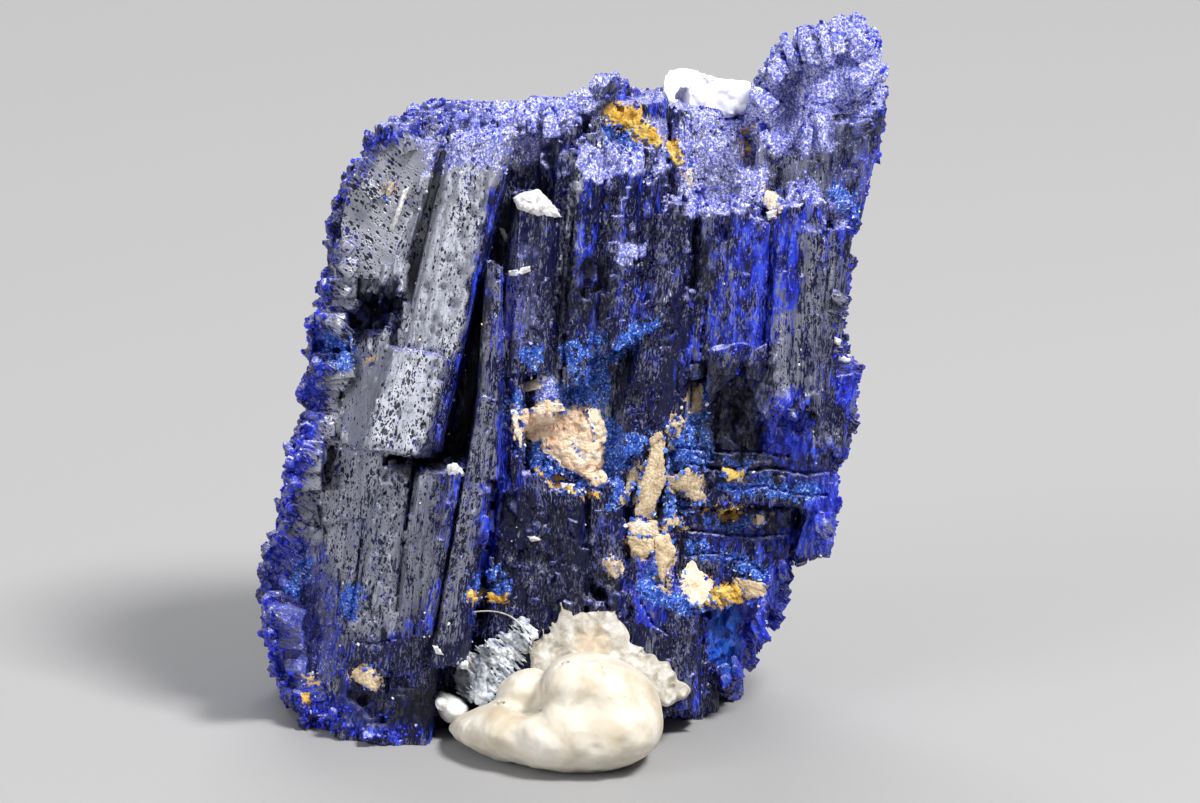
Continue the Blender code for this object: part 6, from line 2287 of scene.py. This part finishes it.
LUMP = [(448, 727), (462, 719), (478, 713), (492, 707), (503, 705), (513, 712), (528, 716), (540, 712), (546, 700),
        (543, 688), (545, 676), (553, 667), (563, 660), (575, 657), (592, 658), (608, 661), (622, 665), (634, 671),
        (645, 681), (653, 694), (658, 712), (659, 728), (655, 742), (645, 753), (630, 761), (610, 766), (585, 768),
        (560, 767), (535, 764), (510, 758), (492, 753), (474, 746), (458, 738)]
LOBE = [(497, 703), (500, 690), (508, 681), (518, 674), (530, 671), (542, 673), (549, 684), (549, 700), (543, 712),
        (528, 718), (512, 715), (501, 709)]


def at_y(u, v, y):
    """Depths that bring drawing points to a distance y from the cluster's middle."""
    d = np.zeros(len(u))
    for _ in range(4):
        grow = 1.0 + d * UNIT / SIGHT
        d = (y - UP[1] * (SHEET_V - v) * grow) / SIGHT_DIR[1]
    return d + FORWARD * (GROUND_V - v)


def puff(soft, poly, spacing, full, deep, y_of, k, rng, rmax=99.0):
    """A pillow with the drawn outline: round at its rim and full in its middle."""
    u, v, ins = patch_points(poly, spacing, rng, jitter=0.2)
    y = y_of(u, v)
    d = at_y(u, v, y)
    t = np.clip(ins / full, 0, 1)
    th = deep * np.sqrt(1 - (1 - t) ** 2)
    for uu, vv, ii, dd, hh in zip(u, v, ins, d, th):
        soft.blob(place(uu, vv, dd), (min(ii + 0.8, rmax), min(ii + 0.8, rmax), max(hh, 2.5)), k=k)


soft = Soft((-182, -238, -4), (100, -20, 182), 1.6)
rng = np.random.RandomState(90)
puff(soft, LUMP, 6.0, 46.0, 66.0,
     lambda u, v: -141.0 + 70.0 * np.clip((540 - u) / 95.0, 0, 1) - 28.0 * np.clip((v - 705) / 62.0, 0, 1), 5.0, rng)
soft.rough(34.0, 1.8, 81, 9)
soft.rough(15.0, 0.9, 82, 9)
lobe = Soft((-182, -238, -4), (100, -20, 182), 1.6)
puff(lobe, LOBE, 5.0, 22.0, 34.0, lambda u, v: -98.0 + 0.0 * u, 4.0, rng)
lobe.rough(12.0, 1.2, 84, 9)
hh = np.clip(9.0 - np.abs(soft.f - lobe.f), 0, None)
soft.f[...] = np.minimum(soft.f, lobe.f) - hh * hh / 36.0
del lobe
# creases: round the lobe's foot, and a short split in the crown
for line, r, deep in (([(496, 704), (504, 703), (513, 711), (528, 716), (541, 711), (547, 699), (545, 686)], 1.5, 2.2),
                      ([(601, 663), (602, 668), (604, 674)], 1.1, 2.2), ([(556, 668), (562, 664), (570, 662)], 1.4, 2.5)):
    for (u0, v0), (u1, v1) in zip(line, line[1:]):
        for t in np.linspace(0, 1, 6):
            uu, vv = u0 + (u1 - u0) * t, v0 + (v1 - v0) * t
            # walk in along the line of sight until the lump is met
            dd = np.arange(-330.0, -40.0, 2.0)
            p = np.array([place(uu, vv, x) for x in dd])
            i = np.round((p - soft.lo) / soft.h).astype(int)
            ok = np.all((i >= 0) & (i < soft.dims), axis=1)
            val = np.full(len(dd), 9.0)
            val[ok] = soft.f[i[ok, 0], i[ok, 1], i[ok, 2]]
            hit = np.flatnonzero(val < 0)
            if len(hit):
                soft.blob(p[hit[0]], (r, r, deep), carve=True)
soft.rough(6.0, 0.30, 83, 9)
np.maximum(soft.f, (0.0 - soft.x[2]).astype(np.float32)[None, None, :], out=soft.f)
soft.solid("putty_lump", PUTTY, "mineral_tack", "putty_support", budget=34000, angle=80)

APRON = [(531, 648), (535, 641), (541, 644), (545, 635), (551, 638), (555, 628), (560, 630), (562, 618), (564, 609),
         (569, 611), (568, 622), (573, 628), (577, 617), (583, 615), (588, 619), (594, 615), (602, 619), (608, 614),
         (615, 616), (613, 625), (620, 628), (626, 637), (625, 643), (633, 648), (640, 650), (646, 658), (652, 655),
         (658, 664), (668, 662), (669, 672), (675, 674), (675, 683), (683, 684), (689, 690), (684, 698), (676, 697),
         (668, 706), (656, 700), (650, 692), (636, 690), (610, 700), (560, 700), (540, 690), (534, 668)]
SMEAR = [(454, 676), (460, 662), (474, 650), (486, 640), (497, 634), (505, 634), (512, 623), (522, 616), (530, 619),
         (536, 628), (538, 636), (530, 642), (530, 652), (522, 668), (508, 688), (496, 700), (483, 706), (466, 702),
         (457, 690)]
CHIP = [(438, 692), (447, 695), (461, 701), (468, 709), (463, 719), (449, 722), (441, 714), (437, 703)]
rng = np.random.RandomState(91)


def hug(poly, spacing, rmax, thick, lift, level=35, reach=14.0, edge=0.8):
    u, v, ins = patch_points(poly, spacing, rng, edge=edge)
    d = sight_depth(u, v)
    ok = ~np.isnan(d)
    u, v, ins, d = u[ok], v[ok], ins[ok], d[ok]
    near = np.hypot(u[:, None] - u[None], v[:, None] - v[None]) < reach
    base = np.array([np.percentile(d[row], level) for row in near])
    return u, v, ins, np.minimum(d, base)


soft = Soft((-90, -170, -2), (112, 30, 175), 1.2)
u, v, ins, d = hug(APRON, 2.6, 8, 8, 0.5)
at = np.stack((u, v, np.zeros(len(u))), 1)
wave = n3(at, 16.0, 95)
for uu, vv, ii, dd, wv in zip(u, v, ins, d, wave):
    r = min(ii + 1.0, 6.0) * (0.80 + 0.4 * rng.rand())
    th = min(1.2 + 0.24 * ii, 5.0)
    lean = 0.34 * max(0.0, vv - 636)          # it swells out towards the lump below
    soft.blob(place(uu, vv, dd - lean * (0.8 + 0.4 * wv) + 6.0 * (0.5 - wv)), (r, r, th + lean * 0.5), k=3.0)
# torn threads along the upper edge
for _ in range(110):
    k = rng.randint(len(u))
    if ins[k] > 26 or v[k] > 676:
        continue
    ang = math.radians(-90 + 26 * rng.randn() + (38 if u[k] > 620 else 0) - (20 if u[k] < 555 else 0))
    ln = 5 + 11 * rng.rand()
    p0 = place(u[k], v[k], d[k] - 2.0 - 0.34 * max(0.0, v[k] - 636))
    p1 = place(u[k] + math.cos(ang) * ln, v[k] + math.sin(ang) * ln, d[k] - 3.0 - 0.3 * max(0.0, v[k] - 636))
    soft.tube(p0, p1, 1.9, 1.0, k=1.4)
made = 0
for _ in range(2400):
    k = rng.randint(len(u))
    way = math.atan2(v[k] - 716.0, u[k] - 600.0) + 0.30 * rng.randn()
    ln = 6 + 15 * rng.rand() ** 1.4
    t = np.array([-0.5, -0.17, 0.17, 0.5])
    bow = (rng.rand() - 0.5) * 4.0
    pu = u[k] + math.cos(way) * ln * t - math.sin(way) * bow * (0.25 - t * t)
    pv = v[k] + math.sin(way) * ln * t + math.cos(way) * bow * (0.25 - t * t)
    if inside_by(APRON, pu, pv).min() < -1.6 or pv.max() > 696:
        continue
    w = []
    for x, y in zip(pu, pv):
        j = int(np.argmin((u - x) ** 2 + (v - y) ** 2))
        over = 0.34 * max(0.0, y - 636) * (0.8 + 0.4 * wave[j])
        th = min(1.2 + 0.24 * ins[j], 5.0) + 0.17 * max(0.0, y - 636)
        w.append(place(x, y, d[j] - over + 6.0 * (0.5 - wave[j]) - th - 0.2))
    ra = 0.75 + 0.45 * rng.rand()
    for j in range(3):
        soft.tube(w[j], w[j + 1], ra * (0.7, 1.0, 0.9)[j], ra * (1.0, 0.9, 0.6)[j], k=0.35)
    made += 1
    if made > 420:
        break
soft.rough(9.0, 0.6, 96, 5)
np.maximum(soft.f, (0.0 - soft.x[2]).astype(np.float32)[None, None, :], out=soft.f)
soft.solid("putty_apron", PUTTY_THIN, "mineral_tack", "putty_support", budget=34000, angle=60)

soft = Soft((-180, -215, -2), (-110, 0, 90), 1.0)
u, v, ins, d = hug(CHIP, 2.6, 6, 8, 0.5)
for uu, vv, ii, dd in zip(u, v, ins, d):
    r = min(ii + 1.2, 7.0)
    soft.blob(place(uu, vv, dd - 26.0 - 0.25 * (vv - 690)), (r, r, min(5 + 1.8 * ii, 18.0)), k=2.0)
soft.rough(6.0, 0.8, 97, 5)
np.maximum(soft.f, (0.0 - soft.x[2]).astype(np.float32)[None, None, :], out=soft.f)
soft.solid("putty_chip", PUTTY_CHIP, "mineral_tack", "putty_support", budget=6000, angle=40)

soft = Soft((-176, -190, -2), (-40, 30, 175), 1.05)
# the streaky smear: strands drawn down to the right over a thin broken film
u, v, ins, d = hug(SMEAR, 2.4, 6, 4, 0.5, edge=1.2)
at = np.stack((u * 0.6 + v * 0.8, (v * 0.6 - u * 0.8) * 2.6, np.zeros(len(u))), 1)
film_n = n3(at, 13.0, 92)
for uu, vv, ii, dd, n in zip(u, v, ins, d, film_n):
    solid = (uu - 456) < 30 and vv > 662
    if solid or n > 0.60:
        r = min(ii + 0.6, 2.8) * (0.7 + 0.5 * rng.rand())
        soft.blob(place(uu, vv, dd - 0.8 - (2.5 if solid else 0.0)), (r, r, 1.2 + (0.30 * min(ii, 9) if solid else 0.3)),
                  k=0.9)
made = 0
for _ in range(1500):
    k = rng.randint(len(u))
    uu, vv = u[k], v[k]
    ln, ang = 9 + 22 * rng.rand() ** 1.5, math.radians(38 + 34 * (rng.rand() - 0.5))
    bow = (rng.rand() - 0.5) * 5.0
    pts = [(uu + math.cos(ang) * ln * t - math.sin(ang) * bow * (0.25 - t * t),
            vv + math.sin(ang) * ln * t + math.cos(ang) * bow * (0.25 - t * t)) for t in (-0.5, -0.17, 0.17, 0.5)]
    q = np.array(pts)
    if inside_by(SMEAR, q[:, 0], q[:, 1]).min() < -2.5:
        continue
    dd = sight_depth(q[:, 0], q[:, 1])
    if np.any(np.isnan(dd)):
        continue
    dd = np.minimum(dd, d[k] + 2.5) - 1.0 - 3.0 * rng.rand()
    w = [place(x, y, z) for (x, y), z in zip(pts, dd)]
    ra = 0.70 + 0.50 * rng.rand()
    for j in range(3):
        soft.tube(w[j], w[j + 1], ra * (0.75, 1.0, 0.9)[j], ra * (1.0, 0.9, 0.6)[j], k=0.35)
    made += 1
    if made > 330:
        break
soft.rough(7.0, 0.35, 93, 5)
np.maximum(soft.f, (0.0 - soft.x[2]).astype(np.float32)[None, None, :], out=soft.f)
soft.solid("putty_smear", PUTTY_FILM, "mineral_tack", "putty_support", budget=33000, angle=60)


def thread(name, line, radius, mat):
    """A fine fibre: a six-sided tube on a smooth run of drawing points, lying on what is under it."""
    q = np.array(line, float)
    t = np.linspace(0, len(q) - 1, 34)
    u = np.interp(t, np.arange(len(q)), q[:, 0])
    v = np.interp(t, np.arange(len(q)), q[:, 1])
    for _ in range(3):
        u[1:-1] = (u[:-2] + u[1:-1] + u[2:]) / 3
        v[1:-1] = (v[:-2] + v[1:-1] + v[2:]) / 3
    d = sight_depth(u, v)
    d = np.where(np.isnan(d), np.nanmedian(d), d)
    low = np.array([d[max(0, i - 6):i + 7].min() for i in range(len(d))])
    for _ in range(4):
        low[1:-1] = (low[:-2] + low[1:-1] + low[2:]) / 3
    p = np.array([place(a, b, c - 2.0) for a, b, c in zip(u, v, low)])
    tan = np.gradient(p, axis=0)
    tan /= np.linalg.norm(tan, axis=1)[:, None]
    x = np.cross(tan, SIGHT_DIR)
    x /= np.linalg.norm(x, axis=1)[:, None]
    y = np.cross(tan, x)
    ang = np.arange(6) / 6.0 * 2 * math.pi
    ring = p[:, None] + radius * (x[:, None] * np.cos(ang)[None, :, None] + y[:, None] * np.sin(ang)[None, :, None])
    verts = np.concatenate([ring.reshape(-1, 3), p[:1], p[-1:]])
    n = len(p)
    tri = []
    for i in range(n - 1):
        for j in range(6):
            a, b = i * 6 + j, i * 6 + (j + 1) % 6
            tri += [(a, b, b + 6), (a, b + 6, a + 6)]
    for j in range(6):
        tri += [(n * 6, (j + 1) % 6, j), (n * 6 + 1, (n - 1) * 6 + j, (n - 1) * 6 + (j + 1) % 6)]
    ob = add_object(name, mesh_from(name, to_world(verts), np.array(tri)))
    ob.data.shade_smooth()
    return wear(ob, mat, "mineral_tack", "putty_support")


thread("lint_fibre", [(473, 612), (482, 611), (492, 611), (503, 613), (512, 617), (519, 623), (527, 633), (534, 640)],
       0.75, PUTTY_THIN)

# ------------------------------------------------------------------ floor, light, camera
me = bpy.data.meshes.new("floor")
me.from_pydata([(-2, -2, 0), (2, -2, 0), (2, 2, 0), (-2, 2, 0)], [], [(0, 1, 2, 3)])
floor = add_object("floor", me)
fmat = bpy.data.materials.new("floor")
fmat.use_nodes = True
fmat.node_tree.nodes["Principled BSDF"].inputs["Base Color"].default_value = (0.32, 0.32, 0.325, 1)
fmat.node_tree.nodes["Principled BSDF"].inputs["Roughness"].default_value = 0.8
me.materials.append(fmat)
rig.stage(floor)

world = bpy.data.worlds.new("studio")
bpy.context.scene.world = world
world.use_nodes = True
wt = world.node_tree
bg = wt.nodes["Background"]
co = wt.nodes.new("ShaderNodeTexCoord")
sep = wt.nodes.new("ShaderNodeSeparateXYZ")
ramp = wt.nodes.new("ShaderNodeValToRGB")
wt.links.new(co.outputs["Generated"], sep.inputs[0])
wt.links.new(sep.outputs[2], ramp.inputs[0])
ramp.color_ramp.elements[0].position = 0.0
ramp.color_ramp.elements[0].color = (0.20, 0.205, 0.22, 1)
ramp.color_ramp.elements[1].position = 0.9
ramp.color_ramp.elements[1].color = (0.95, 0.96, 1.0, 1)
wt.links.new(ramp.outputs[0], bg.inputs[0])
bg.inputs[1].default_value = 0.50

TARGET = Vector((0.0, 0.001, 0.0135))


def area(name, place_at, size, power, colour=(1, 1, 1)):
    li = bpy.data.lights.new(name, "AREA")
    li.shape = "RECTANGLE"
    li.size, li.size_y = size
    li.energy = power
    li.color = colour
    ob = bpy.data.objects.new(name, li)
    ob.location = place_at
    ob.rotation_euler = (TARGET - Vector(place_at)).to_track_quat("-Z", "Y").to_euler()
    ob.visible_camera = False
    bpy.context.scene.collection.objects.link(ob)
    return ob


area("key", (0.20, -0.17, 0.38), (0.11, 0.11), 3.0, (1.0, 0.985, 0.96))
area("left_panel", (-0.38, -0.30, 0.20), (0.28, 0.32), 1.2, (0.97, 0.98, 1.0))
area("back_top", (-0.05, 0.36, 0.34), (0.36, 0.16), 1.2)

cam = bpy.data.cameras.new("camera")
cam.sensor_width = 36.0
cam.lens = 225.0
cam.clip_start = 0.01
cam_ob = bpy.data.objects.new("camera", cam)
bpy.context.scene.collection.objects.link(cam_ob)
cam_ob.location = Vector(to_world(MIDDLE)) - Vector(SIGHT_DIR) * SIGHT
cam_ob.rotation_euler = Vector(SIGHT_DIR).to_track_quat("-Z", "Y").to_euler()
bpy.context.scene.camera = cam_ob
bpy.context.scene.view_settings.view_transform = "Standard"

with open("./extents.json", "w") as f:
    json.dump({"cad": CAD_BOX, "visual": [[float(x) for x in c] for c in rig.bounds()]}, f)
